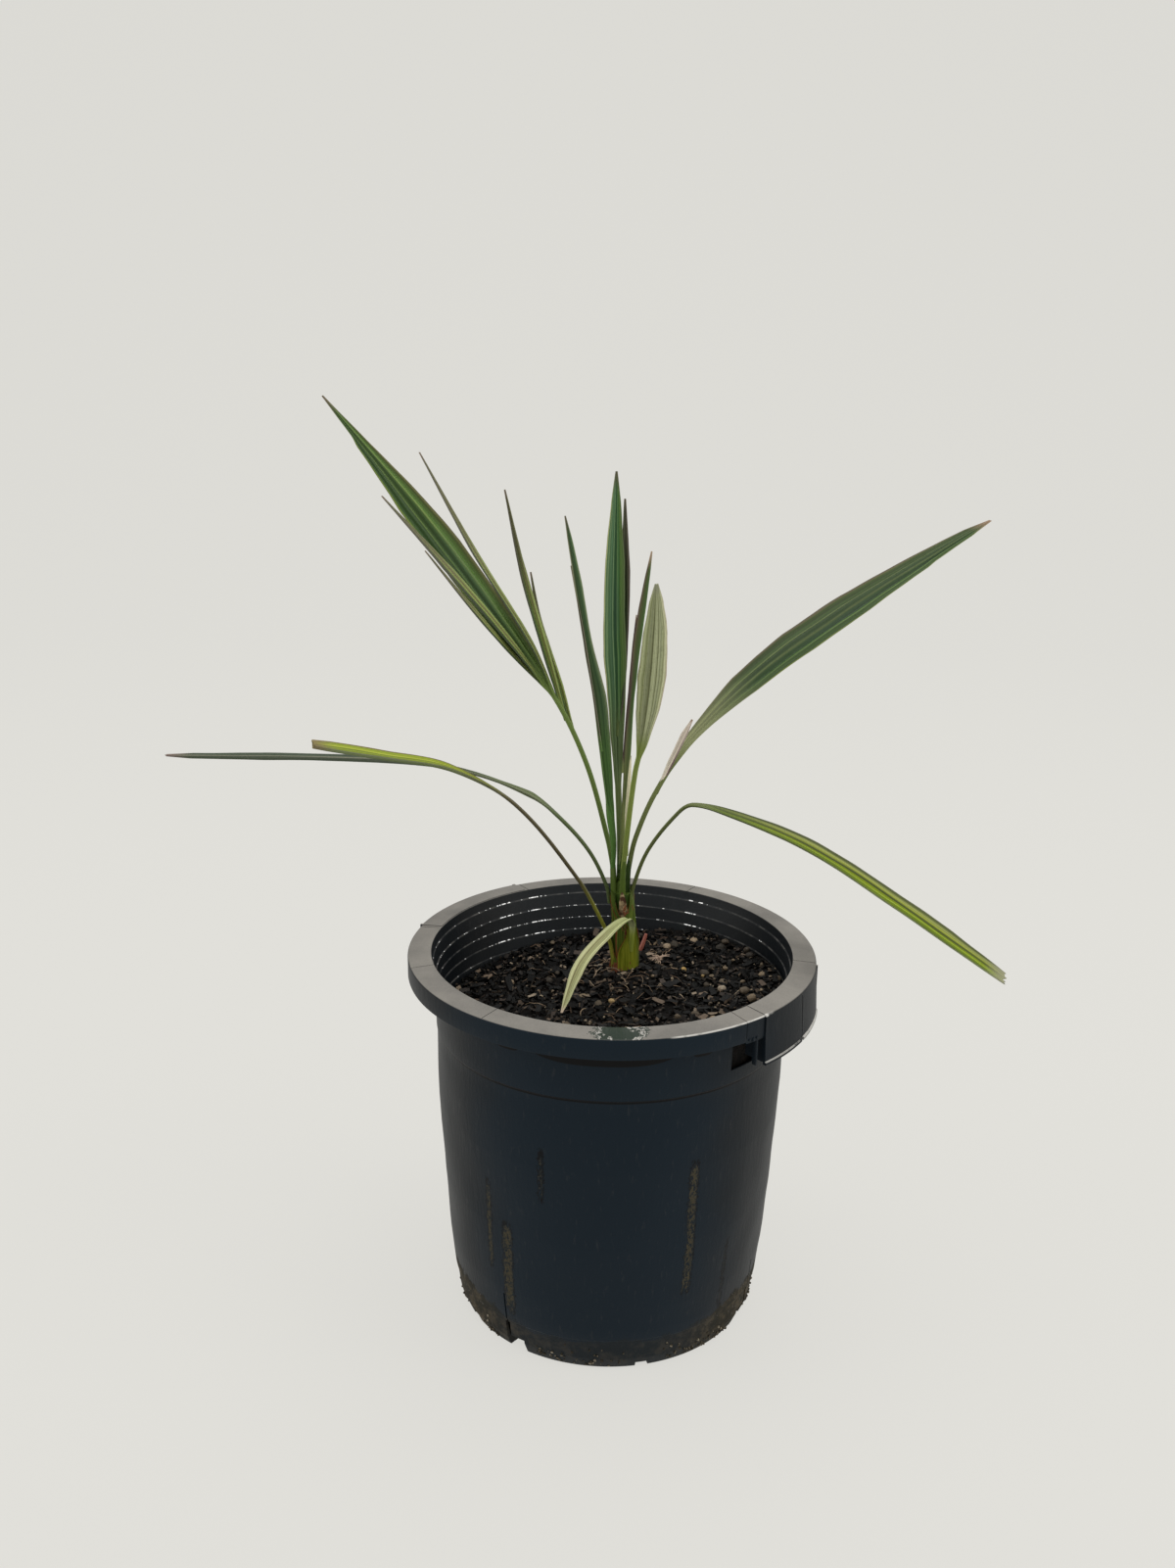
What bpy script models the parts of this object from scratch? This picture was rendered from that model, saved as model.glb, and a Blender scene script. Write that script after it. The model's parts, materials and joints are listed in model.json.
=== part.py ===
"""Potted date palm: a young palm with ten leaves, in a round nursery pot filled with potting mix.

Scene units are metres. Sizes are written in millimetres and turned into metres where a shape is made.
The origin is the middle of the pot's underside, with +Z up and the side seen from the front at -Y.
Azimuths are degrees anticlockwise from +X, seen from above, so the front is at -90.
"""
import math
import random
from dataclasses import dataclass

import bmesh
import bpy
from mathutils import Matrix, Quaternion, Vector
from mathutils.geometry import interpolate_bezier

MM = 0.001
CLEARANCE = 0.35
"""Gap in millimetres between a leaf stalk and the sheath that holds it."""

# Pot: a turned shape
POT_SIDES = 48
WALL = 1.6
RING_TOP = 236.0
RING_INNER = 111.0
RING_OUTER = 125.4
RING_FALL = 0.8
RING_ROUND = 0.7
"""Size of the small bevel round the ring's outer edge."""
COLLAR_FOOT = 222.5
SKIRT_LEAN = 0.1
FLOOR_TOP = 6.0
FLOOR_UNDER = 4.0
PAD_RADIUS = 33.0
PAD_SLOPE = 2.0
FOOT_INNER = 84.5
FOOT_SLOPE = 1.5
WALL_OUTSIDE = (
    (0.0, 92.0), (8.0, 95.5), (21.8, 97.2), (22.4, 98.0), (46.0, 100.7), (89.0, 104.3),
    (140.0, 107.0), (187.6, 107.6), (188.2, 108.2), (220.0, 109.5), (234.2, 112.4),
)
"""Height and radius of the wall's outside, with its two small steps."""
CAVITY_HEIGHTS = (187.0, 140.0, 89.0, 46.0, 18.0)
CAVITY_FOOT = ((92.6, 7.6), (90.8, 6.0))
"""Radius and height of the rounded corner between the pot's inside and its floor."""
LEDGE_TOP = 230.0
LEDGE_PITCH = 8.5
LEDGE_COUNT = 5
LEDGE_STEP = 0.4
"""Half of how far each ledge inside the pot steps inwards."""
LEDGE_SLANT = 0.2
"""Half of the height over which a ledge steps inwards."""

# Pot: the two deep lift grips in its collar, and what is beside the front one
GRIP_SPANS = ((-47.0, -9.5), (121.2, 164.8))
GRIP_FOOT = 204.5
GRIP_PROUD = 0.3
GRIP_FLARE = 1.3
GRIP_LIP = 0.7
GRIP_LIP_HEIGHT = 2.0
GRIP_STEPS = 8
GRIP_SLIT = {"azimuth": -28.5, "width": 0.8, "depth": 2.6}
FIN_THICK = 1.8
FIN_FOOT = 206.0
HOOK = {"azimuth": -49.4, "thick": 1.3, "depth": 3.2, "foot": 205.5}
SHELF_START = -53.5
SHELF_LOW = 221.4
SHELF_HIGH = 223.4
SHELF_OVERLAP = 1.0
"""Degrees that the shelf runs into the front grip."""
WINDOW = {"azimuth": -46.0, "width": 19.0, "low": 196.5, "high": 212.0}
LAP = 0.6
"""How far a fin, shelf or grip sinks into the part of the pot that it grows from."""

# Pot: drain slots where the wall meets the floor, each a low opening with a slit up one side of it
DRAIN_SLOTS = ((-124.8, -1), (-27.0, 1), (22.0, -1), (70.0, 1), (118.0, -1), (166.0, 1))
"""Azimuth of each opening, and the side that its slit is on, which is 1 for anticlockwise."""
DRAIN_CUTS = ((0.0, 11.4, 10.0), (5.9, 3.4, 20.0), (5.9, 1.0, 42.0))
"""Sideways place, width and height of the opening, of the slit and of the narrow end of the slit."""
NOTCHES = ((-151.0, 10.0, 5.0), (-76.5, 8.0, 3.5), (95.0, 8.0, 3.5))
"""Azimuth, width and height of the small notches in the foot."""
CUT_NEAR = FOOT_INNER - 1.0
CUT_FAR = 106.0
"""Radii between which the slots and notches are cut."""
CUT_PAST = 1.0
"""How far a cutter runs past the lower edge that it cuts through."""

# Potting mix
MIX_SIDES = 40
MIX_RINGS = 8
MIX_GAP = 0.4
MIX_RADIUS = 105.4
MIX_LEVEL = 203.5
MIX_SLOPE = 12.0
MIX_HEAP = 5.0
MIX_HEAP_REACH = 38.0
MIX_ROLL = 1.6
MIX_WAVES = ((16.0, 0.8), (21.0, -0.4))
"""Length and start of the roll's wave along x and along y."""
MIX_CRUMB = 0.8
MIX_RING_BIAS = 0.85
"""Power that sets the mix's rings closer together near the stem when it is above 1."""
STEM_HOLE = 8.3
STEM_HOLE_DEPTH = 19.0
PEBBLES = 26
BARK_CHIPS = 46
TWIGS = 6
LOOSE_REACH = 103.0
"""How far from the axis the far end of a pebble, chip or twig may lie."""
STEM_CLEAR = 17.0
PEBBLE_SIZE = (2.2, 3.8)
PEBBLE_SUNK = 0.35
"""How far a pebble's middle lies above the mix, as a share of its size."""
PEBBLE_SQUASH = ((0.75, 1.0), (0.6, 0.85))
CHIP_SIZE = ((6, 12), (3, 6), (1.6, 3))
"""Smallest and largest length, width and thickness of a bark chip."""
TWIG_LENGTH = (16, 30)
TWIG_THICK = 1.7
LIE_LEAN = 9
LIE_TIP = 25
"""Most degrees that a chip or twig leans along its length and tips to its side."""
CHIP_UNEVEN = 0.12
SEED = 7

# Crown: the stem base, as height, centre x, centre y and radius
FOOT = Vector((9.0, 30.0))
CROWN_SIDES = 16
CROWN_CORE = (
    (191.5, 9.0, 30.0, 8.0), (209.0, 9.0, 30.0, 8.0), (236.0, 8.0, 30.2, 7.8),
    (262.0, 6.0, 30.8, 7.2), (285.0, 4.6, 31.2, 6.4),
)
SHEATH_WALL = 0.9
SHEATH_FLOOR = 2.0
SHEATH_LENGTH = 9.5
POCKET_LENGTH = 26.0

# Leaves
STALK_THICK = 2.4
BLADE_THICK = 0.75
SPREAD_SHARE = 0.08
"""Share of a leaf's length over which its stalk widens into its blade."""
STALK_EDGE = 0.35
"""Thickness of a stalk at its edge, as a share of its thickness in the middle."""
PLEAT = 0.07
"""Height of a pleat as a share of the blade's half width."""


@dataclass
class Blade:
    """A blade and the stalk it stands on, in millimetres and degrees."""

    spine: tuple
    widths: tuple
    stalk: float
    facing: float
    roll: float = 0.0
    fold: float = 18.0
    columns: int = 5
    stations: int = 16
    stalk_thick: float = STALK_THICK


LEAVES = {
    "frond_back_left": (
        Blade(
            spine=((0.3, 36.5, 276), (-3.2, 41.5, 292), (-17.5, 51, 339), (-38, 67, 377), (-76, 95, 422),
                   (-138, 143, 490), (-200, 193, 553)),
            widths=((0, 3.4), (0.3, 3.2), (0.36, 9), (0.42, 15.5), (0.5, 20), (0.62, 23.5), (0.72, 20.5),
                    (0.87, 9.5), (1, 1.6)),
            stalk=0.31, facing=142, roll=-25, fold=12, columns=7, stations=20),
        Blade(
            spine=((-36, 65, 374), (-53, 82, 407), (-93, 128, 459), (-132, 166, 519)),
            widths=((0, 2), (0.25, 6), (0.6, 7), (1, 1.4)),
            stalk=0.04, facing=138, roll=20, fold=35, stations=9, stalk_thick=1.4),
        Blade(
            spine=((-42, 69, 381), (-70, 83, 413), (-107, 102, 451), (-153, 131, 494)),
            widths=((0, 2), (0.25, 7), (0.6, 8), (1, 1.4)),
            stalk=0.04, facing=148, fold=30, stations=9, stalk_thick=1.4),
        Blade(
            spine=((-40, 68, 379), (-64, 77, 401), (-90, 83, 429), (-122, 98, 464)),
            widths=((0, 2), (0.3, 5), (0.6, 5), (1, 1.4)),
            stalk=0.04, facing=152, fold=30, stations=8, stalk_thick=1.4),
        Blade(
            spine=((-31, 61, 364), (-46, 83, 408), (-61, 112, 451), (-73, 126, 500)),
            widths=((0, 2), (0.25, 6), (0.6, 6.5), (1, 1.4)),
            stalk=0.04, facing=128, roll=-20, fold=35, stations=9, stalk_thick=1.4),
        Blade(
            spine=((-25, 56, 354), (-35, 78, 382), (-49, 110, 416), (-56, 125, 447)),
            widths=((0, 2), (0.3, 5), (0.6, 5), (1, 1.4)),
            stalk=0.04, facing=124, roll=-20, fold=35, stations=8, stalk_thick=1.4),
    ),
    "frond_centre": (
        Blade(
            spine=((4.5, 35.5, 276), (4, 36, 299), (2, 38, 340), (0, 44, 391), (-2, 50, 433),
                   (-2, 66, 519)),
            widths=((0, 3.4), (0.22, 4), (0.35, 9), (0.55, 15), (0.78, 12.5), (0.93, 6), (1, 1.4)),
            stalk=0.2, facing=95, columns=7, stations=17),
        Blade(
            spine=((1.4, 40.6, 360), (3.6, 44.5, 392), (4.6, 52, 439), (4.2, 58, 474), (3.5, 63, 503)),
            widths=((0, 2), (0.3, 6), (0.7, 7), (1, 1.4)),
            stalk=0.04, facing=95, roll=-20, fold=25, stations=10, stalk_thick=1.4),
    ),
    "frond_front_pale": (
        Blade(
            spine=((6.5, 26, 276), (7.5, 24, 291), (12, 11, 345), (15.5, 2, 366), (19, -20, 402),
                   (19.5, -52, 446), (18, -79, 476)),
            widths=((0, 3.4), (0.36, 3.2), (0.42, 8), (0.52, 15), (0.64, 17.5), (0.8, 14.5),
                    (0.93, 8), (1, 2)),
            stalk=0.38, facing=-80, columns=7, stations=19),
    ),
    "frond_right_upper": (
        Blade(
            spine=((9.8, 31, 276), (14, 33, 296), (26, 42, 323), (49, 61, 353.5), (97, 99, 388.5),
                   (151, 141, 417.5), (218, 193, 449), (269, 233, 471)),
            widths=((0, 3.4), (0.17, 3.4), (0.22, 7.5), (0.28, 13), (0.37, 24), (0.5, 30.5), (0.64, 29),
                    (0.84, 18), (0.94, 11), (1, 2.5)),
            stalk=0.17, facing=38, roll=10, columns=7, stations=22),
    ),
    "frond_right_lower": (
        Blade(
            spine=((12, 28.5, 252), (13.2, 28.4, 265), (22, 26, 291), (40, 20, 318), (48, 17.5, 323.5),
                   (66, 11, 321.5), (115, -4, 306), (169, -22, 276.5), (236, -44, 234.5)),
            widths=((0, 3.6), (0.25, 3.2), (0.33, 11), (0.45, 18), (0.62, 22.5), (0.85, 22), (0.96, 17),
                    (1, 13)),
            stalk=0.27, facing=-18, columns=7, stations=21),
    ),
    "frond_left_long": (
        Blade(
            spine=((-1.5, 32, 253), (-3.5, 32, 264), (-15, 33, 287), (-34, 36, 308), (-53, 39, 322),
                   (-101, 45, 336.5), (-157, 53, 339.5), (-288, 72, 334)),
            widths=((0, 4), (0.1, 4), (0.2, 5.5), (0.27, 8), (0.33, 5.5), (0.4, 8), (0.55, 15), (0.8, 16),
                    (0.95, 12), (1, 4)),
            stalk=0.2, facing=172, roll=8, fold=24, stations=18),
    ),
    "frond_left_yellow": (
        Blade(
            spine=((1.5, 27.5, 217), (-0.5, 27.3, 227), (-6, 26, 242), (-22, 21, 273), (-60, 10, 324),
                   (-97, 0, 349.5), (-135, -11, 360), (-178, -23, 370)),
            widths=((0, 4.4), (0.1, 4), (0.25, 3.4), (0.38, 6), (0.48, 5), (0.55, 7), (0.68, 14), (0.85, 19),
                    (0.95, 18), (1, 14)),
            stalk=0.5, facing=196, fold=25, stations=17),
    ),
    "frond_front_small": (
        Blade(
            spine=((12, 23, 224), (12.6, 21.5, 234), (12.6, 20, 243), (9, 16, 248.5), (-4, 0, 244),
                   (-19, -20, 233), (-30, -42, 211)),
            widths=((0, 4), (0.14, 4), (0.25, 7), (0.45, 9), (0.75, 8.5), (0.92, 4.5), (1, 1.4)),
            stalk=0.1, facing=-118, fold=10, stations=15),
    ),
    "frond_left_thin": (
        Blade(
            spine=((0.2, 31, 276), (0.4, 31, 292), (-1.8, 31.3, 309), (-5, 32, 335), (-8.2, 33, 362),
                   (-11.6, 33.5, 388), (-18, 34.5, 417), (-24.5, 37, 453.6), (-32.5, 41, 495)),
            widths=((0, 3.2), (0.07, 4.4), (0.15, 6.5), (0.27, 11), (0.39, 14.3), (0.5, 15), (0.59, 11.7),
                    (0.66, 9), (0.8, 9), (0.94, 5), (1, 1.4)),
            stalk=0.14, facing=135, fold=40, stations=18),
    ),
    "frond_right_thin": (
        Blade(
            spine=((4.8, 30.8, 276), (5.8, 31, 301), (6.4, 30.5, 319), (7.4, 30, 337), (8.4, 29.5, 363),
                   (9.6, 29, 389), (12.6, 28, 425), (19, 26, 477)),
            widths=((0, 3.2), (0.12, 3.4), (0.21, 5.2), (0.39, 8.2), (0.56, 7.2), (0.74, 9.5), (0.84, 8.5),
                    (0.93, 5.5), (1, 1.4)),
            stalk=0.16, facing=-30, fold=40, stations=16),
    ),
}

COLOURS = {
    "pot": ((0.012, 0.014, 0.018), 0.42),
    "potting_mix": ((0.022, 0.017, 0.013), 0.9),
    "crown": ((0.16, 0.25, 0.03), 0.5),
    "frond_back_left": ((0.045, 0.13, 0.03), 0.45),
    "frond_centre": ((0.04, 0.11, 0.04), 0.45),
    "frond_front_pale": ((0.2, 0.28, 0.14), 0.55),
    "frond_right_upper": ((0.045, 0.13, 0.04), 0.45),
    "frond_right_lower": ((0.15, 0.26, 0.03), 0.45),
    "frond_left_long": ((0.035, 0.07, 0.03), 0.45),
    "frond_left_yellow": ((0.22, 0.32, 0.02), 0.45),
    "frond_front_small": ((0.4, 0.47, 0.25), 0.55),
    "frond_left_thin": ((0.045, 0.12, 0.04), 0.45),
    "frond_right_thin": ((0.09, 0.07, 0.05), 0.5),
}
"""Linear base colour and roughness of each sub-part."""


def clear_scene():
    """Remove what the scene holds before the model is made."""
    for thing in list(bpy.data.objects):
        bpy.data.objects.remove(thing, do_unlink=True)


def material(name):
    """The sub-part's own plain material."""
    colour, roughness = COLOURS[name]
    made = bpy.data.materials.new(name)
    made.use_nodes = True
    shader = made.node_tree.nodes["Principled BSDF"]
    shader.inputs["Base Color"].default_value = (*colour, 1)
    shader.inputs["Roughness"].default_value = roughness
    shader.inputs["Metallic"].default_value = 0.0
    return made


def add_object(name, shape):
    """Turn a bmesh in millimetres into an object in metres."""
    bmesh.ops.scale(shape, vec=(MM, MM, MM), verts=shape.verts)
    bmesh.ops.recalc_face_normals(shape, faces=shape.faces)
    mesh = bpy.data.meshes.new(name)
    shape.to_mesh(mesh)
    shape.free()
    thing = bpy.data.objects.new(name, mesh)
    bpy.context.scene.collection.objects.link(thing)
    return thing


def finish(thing, sharp=50):
    """Give a finished sub-part its material and smooth shading with sharp edges kept."""
    thing.data.materials.clear()
    thing.data.materials.append(material(thing.name))
    thing.data.shade_smooth()
    thing.data.set_sharp_from_angle(angle=math.radians(sharp))
    return thing


def combine(body, others, operation):
    """Apply one Boolean of the body with all the other objects, which are then removed."""
    group = bpy.data.collections.new(f"{body.name}_{operation.lower()}")
    bpy.context.scene.collection.children.link(group)
    for other in others:
        group.objects.link(other)
        other.hide_render = True
        other.display_type = "WIRE"
    boolean = body.modifiers.new(operation.title(), "BOOLEAN")
    boolean.operation = operation
    boolean.operand_type = "COLLECTION"
    boolean.collection = group
    boolean.solver = "EXACT"
    bpy.context.view_layer.update()
    evaluated = body.evaluated_get(bpy.context.evaluated_depsgraph_get())
    joined = bpy.data.meshes.new_from_object(evaluated)
    body.modifiers.clear()
    body.data = joined
    for other in others:
        bpy.data.objects.remove(other, do_unlink=True)
    bpy.data.collections.remove(group)
    return body


def drop_scraps(thing):
    """Keep only the largest shell of a joined body, without sealed hollows or loose scraps."""
    shape = bmesh.new()
    shape.from_mesh(thing.data)
    unseen = set(shape.faces)
    shells = []
    while unseen:
        shell = [unseen.pop()]
        for face in shell:
            near = {other for edge in face.edges for other in edge.link_faces} & unseen
            unseen -= near
            shell.extend(near)
        shells.append(shell)
    shells.sort(key=len)
    scraps = [face for shell in shells[:-1] for face in shell]
    bmesh.ops.delete(shape, geom=scraps, context="FACES")
    shape.to_mesh(thing.data)
    shape.free()


def direction(azimuth):
    """Level unit vector that points away from the axis at an azimuth."""
    angle = math.radians(azimuth)
    return Vector((math.cos(angle), math.sin(angle), 0))


def between(table, place):
    """Value at a place in a table of (place, value) rows, read along straight lines."""
    for (start, low), (end, high) in zip(table, table[1:]):
        if place <= end:
            return low + (high - low) * max(0.0, place - start) / (end - start)
    return table[-1][1]


def ease(value):
    """Smooth step from 0 to 1."""
    value = min(1.0, max(0.0, value))
    return value * value * (3 - 2 * value)


def turned(name, outline, sides=POT_SIDES):
    """Closed body turned from an outline of (radius, height) points that starts and ends on the axis."""
    shape = bmesh.new()
    verts = [shape.verts.new((radius, 0, height)) for radius, height in outline]
    edges = [shape.edges.new(pair) for pair in zip(verts, verts[1:])]
    bmesh.ops.spin(shape, geom=verts + edges, cent=(0, 0, 0), axis=(0, 0, 1),
                   angle=math.tau, steps=sides, use_merge=True)
    bmesh.ops.remove_doubles(shape, verts=shape.verts, dist=1e-4)
    return add_object(name, shape)


def sector(name, outline, start, end, steps=GRIP_STEPS):
    """Closed body swept round the axis between two azimuths from an outline of (radius, height) points."""
    shape = bmesh.new()
    outwards = direction(start)
    verts = [shape.verts.new(outwards * radius + Vector((0, 0, height))) for radius, height in outline]
    face = shape.faces.new(verts)
    bmesh.ops.spin(shape, geom=[face] + list(face.edges) + verts, cent=(0, 0, 0), axis=(0, 0, 1),
                   angle=math.radians(end - start), steps=steps, use_duplicate=False)
    return add_object(name, shape)


def block(name, azimuth, near, far, width, low, high):
    """Closed box that points away from the axis, from one radius and height to another."""
    shape = bmesh.new()
    middle = direction(azimuth) * (near + far) / 2 + Vector((0, 0, (low + high) / 2))
    turn = Matrix.Rotation(math.radians(azimuth), 4, "Z")
    size = Matrix.Diagonal((far - near, width, high - low, 1))
    bmesh.ops.create_cube(shape, size=1, matrix=Matrix.Translation(middle) @ turn @ size)
    return add_object(name, shape)


def loft(name, rings):
    """Closed body through rings of points: the first ring's face is extruded from ring to ring."""
    shape = bmesh.new()
    face = shape.faces.new([shape.verts.new(point) for point in rings[0]])
    first = face
    for points in rings[1:]:
        grown = bmesh.ops.extrude_face_region(shape, geom=[face])["geom"]
        if face is not first:
            shape.faces.remove(face)
        face = next(item for item in grown if isinstance(item, bmesh.types.BMFace))
        for vert, point in zip(face.verts, points):
            vert.co = point
    return shape


def wall_radius(height):
    """Radius of the pot wall's outside at a height."""
    return between(WALL_OUTSIDE, height)


def cavity_outline():
    """Radius and height of the pot's inside below the ledges, from its wall down to the floor's edge."""
    wall = [(wall_radius(height) - WALL, height) for height in CAVITY_HEIGHTS]
    return wall + list(CAVITY_FOOT)


def ledge_outline():
    """Radius and height of the ledges inside the top of the pot, from the uppermost down."""
    points = []
    for number in range(LEDGE_COUNT):
        height = LEDGE_TOP - LEDGE_PITCH * number
        radius = wall_radius(height) - WALL
        points.append((radius + LEDGE_STEP, height + LEDGE_SLANT))
        points.append((radius - LEDGE_STEP, height - LEDGE_SLANT))
    return points


def make_pot():
    """Nursery pot: turned wall, floor, ring and collar, with lift grips, a window and drain slots."""
    base = [(0, 0), (PAD_RADIUS, 0), (PAD_RADIUS + PAD_SLOPE, FLOOR_UNDER),
            (FOOT_INNER - FOOT_SLOPE, FLOOR_UNDER), (FOOT_INNER, 0)]
    wall = [(radius, height) for height, radius in WALL_OUTSIDE]
    skirt = RING_OUTER - WALL
    outer_edge = RING_TOP - RING_FALL
    ring = [(skirt - SKIRT_LEAN, wall[-1][1] - SKIRT_LEAN), (skirt + SKIRT_LEAN, COLLAR_FOOT),
            (RING_OUTER, COLLAR_FOOT),
            (RING_OUTER, outer_edge - RING_ROUND), (RING_OUTER - RING_ROUND, outer_edge),
            (RING_INNER + RING_ROUND / 2, RING_TOP), (RING_INNER, RING_TOP - RING_ROUND / 2)]
    outline = base + wall + ring + ledge_outline() + cavity_outline() + [(0, FLOOR_TOP)]
    pot = turned("pot", outline)
    combine(pot, make_grips(), "UNION")
    combine(pot, make_pot_cutters(), "DIFFERENCE")
    return finish(pot, sharp=30)


def make_grips():
    """The deep stretches of the collar with a lip at their foot, their end fins, a shelf and a hook."""
    skirt = RING_OUTER - WALL + GRIP_PROUD / 2
    outside = RING_OUTER + GRIP_PROUD
    flared = outside + GRIP_FLARE
    top = RING_TOP - RING_FALL + GRIP_PROUD
    lip_top = GRIP_FOOT + GRIP_LIP_HEIGHT
    outline = [(RING_INNER + LAP, RING_TOP + GRIP_PROUD), (outside - RING_ROUND, top),
               (outside, top - RING_ROUND), (flared, lip_top), (flared + GRIP_LIP, lip_top),
               (flared + GRIP_LIP, GRIP_FOOT), (skirt + GRIP_FLARE, GRIP_FOOT), (skirt, top - 2 * LAP),
               (RING_INNER + LAP, RING_TOP - RING_FALL)]
    fin_top = RING_TOP - LAP
    levels = [FIN_FOOT, *(height for height, radius in WALL_OUTSIDE if FIN_FOOT < height < fin_top), fin_top]
    fin = [(outside + LAP, FIN_FOOT), (outside + LAP, fin_top)]
    fin += [(wall_radius(level) - LAP, level) for level in reversed(levels)]
    fin_turn = math.degrees(FIN_THICK / RING_OUTER)
    pieces = []
    for start, end in GRIP_SPANS:
        pieces.append(sector("grip", outline, start, end))
        for azimuth in (start, end - fin_turn):
            pieces.append(sector("fin", fin, azimuth, azimuth + fin_turn, steps=1))
    near, far = wall_radius(SHELF_LOW) - LAP, RING_OUTER - GRIP_PROUD
    shelf = [(near, SHELF_LOW), (far, SHELF_LOW), (far, SHELF_HIGH), (near, SHELF_HIGH)]
    pieces.append(sector("shelf", shelf, SHELF_START, GRIP_SPANS[0][0] + SHELF_OVERLAP, steps=2))
    pieces.append(block("hook", HOOK["azimuth"], far - HOOK["depth"], far, HOOK["thick"], HOOK["foot"],
                        SHELF_HIGH))
    return pieces


def make_pot_cutters():
    """Drain slots and notches, the window in the wall and the slit in the front grip."""
    cuts = list(NOTCHES)
    for azimuth, side in DRAIN_SLOTS:
        for offset, width, height in DRAIN_CUTS:
            cuts.append((azimuth + side * math.degrees(offset / wall_radius(height)), width, height))
    cutters = [block("slot", azimuth, CUT_NEAR, CUT_FAR, width, -CUT_PAST, height)
               for azimuth, width, height in cuts]
    middle = wall_radius(WINDOW["low"])
    cutters.append(block("window", WINDOW["azimuth"], middle - 2 * WALL, middle + 2 * WALL,
                         WINDOW["width"], WINDOW["low"], WINDOW["high"]))
    cutters.append(block("slit", GRIP_SLIT["azimuth"], RING_OUTER - GRIP_SLIT["depth"],
                         RING_OUTER + 2 * GRIP_SLIT["depth"], GRIP_SLIT["width"], GRIP_FOOT - CUT_PAST,
                         RING_TOP - GRIP_SLIT["depth"]))
    return cutters


def mix_height(x, y):
    """Height of the potting mix: it slopes up to the right, heaps round the stem and rolls gently."""
    away = Vector((x, y)) - FOOT
    heap = MIX_HEAP * math.exp(-away.length_squared / MIX_HEAP_REACH ** 2)
    (long_x, start_x), (long_y, start_y) = MIX_WAVES
    roll = MIX_ROLL * math.sin(x / long_x + start_x) * math.cos(y / long_y + start_y)
    return MIX_LEVEL + MIX_SLOPE * x / RING_INNER + heap + roll


def mix_circle(centre, radius, height):
    """Level ring of points round the potting mix, all at one height."""
    around = (direction(360 * number / MIX_SIDES) for number in range(MIX_SIDES))
    return [Vector((centre.x, centre.y, 0)) + way * radius + Vector((0, 0, height)) for way in around]


def make_mix(draw):
    """Potting mix: a plug that fills the pot, with a plain stem hole and crumbs, bark and pebbles on top."""
    axis = Vector((0, 0))
    hole_floor = mix_height(*FOOT) - STEM_HOLE_DEPTH
    rings = [mix_circle(FOOT, STEM_HOLE, hole_floor)]
    for number in range(MIX_RINGS + 1):
        share = (number / MIX_RINGS) ** MIX_RING_BIAS
        centre = FOOT * (1 - share)
        ring = mix_circle(centre, STEM_HOLE + (MIX_RADIUS - STEM_HOLE) * share, 0)
        for point in ring:
            point.z = mix_height(point.x, point.y) + draw.uniform(-MIX_CRUMB, MIX_CRUMB)
        rings.append(ring)
    for radius, height in cavity_outline()[1:]:
        rings.append(mix_circle(axis, min(radius - MIX_GAP, MIX_RADIUS), height + MIX_GAP))
    shape = loft("potting_mix", rings)
    bmesh.ops.triangulate(shape, faces=[face for face in shape.faces if len(face.verts) == 4])
    mix = add_object("potting_mix", shape)
    combine(mix, scatter(draw), "UNION")
    drop_scraps(mix)
    return finish(mix, sharp=25)


def scatter_place(draw, half_length):
    """A random spot on the potting mix for a piece of some size, away from the stem and the pot wall."""
    reach = LOOSE_REACH - half_length
    while True:
        spot = Vector((draw.uniform(-1, 1), draw.uniform(-1, 1))) * reach
        if spot.length < reach and (spot - FOOT).length > STEM_CLEAR + half_length / 2:
            return Vector((spot.x, spot.y, mix_height(spot.x, spot.y)))


def scatter(draw):
    """Pebbles, bark chips and twigs, each sunk part of the way into the potting mix."""
    pieces = []
    for number in range(PEBBLES):
        size = draw.uniform(*PEBBLE_SIZE)
        place = scatter_place(draw, size) + Vector((0, 0, PEBBLE_SUNK * size))
        turn = Quaternion(direction(draw.uniform(0, 360)), draw.uniform(0, math.pi)).to_matrix().to_4x4()
        wide, high = (size * draw.uniform(*share) for share in PEBBLE_SQUASH)
        squash = Matrix.Diagonal((size, wide, high, 1))
        shape = bmesh.new()
        bmesh.ops.create_icosphere(shape, subdivisions=1, radius=1,
                                   matrix=Matrix.Translation(place) @ turn @ squash)
        pieces.append(add_object("pebble", shape))
    sticks = [[draw.uniform(*span) for span in CHIP_SIZE] for number in range(BARK_CHIPS)]
    sticks += [(draw.uniform(*TWIG_LENGTH), TWIG_THICK, TWIG_THICK) for number in range(TWIGS)]
    for length, width, thick in sticks:
        place = scatter_place(draw, length / 2)
        lean = Matrix.Rotation(math.radians(draw.uniform(-LIE_LEAN, LIE_LEAN)), 4, "Y")
        turn = Matrix.Rotation(draw.uniform(0, math.pi), 4, "Z")
        tip = Matrix.Rotation(math.radians(draw.uniform(-LIE_TIP, LIE_TIP)), 4, "X")
        shape = bmesh.new()
        bmesh.ops.create_cube(shape, size=1, matrix=Matrix.Translation(place) @ turn @ lean @ tip
                              @ Matrix.Diagonal((length, width, thick, 1)))
        for vert in shape.verts:
            uneven = [draw.uniform(-CHIP_UNEVEN, CHIP_UNEVEN) for axis in range(3)]
            vert.co += Vector(uneven) * width
        pieces.append(add_object("chip", shape))
    return pieces


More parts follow.
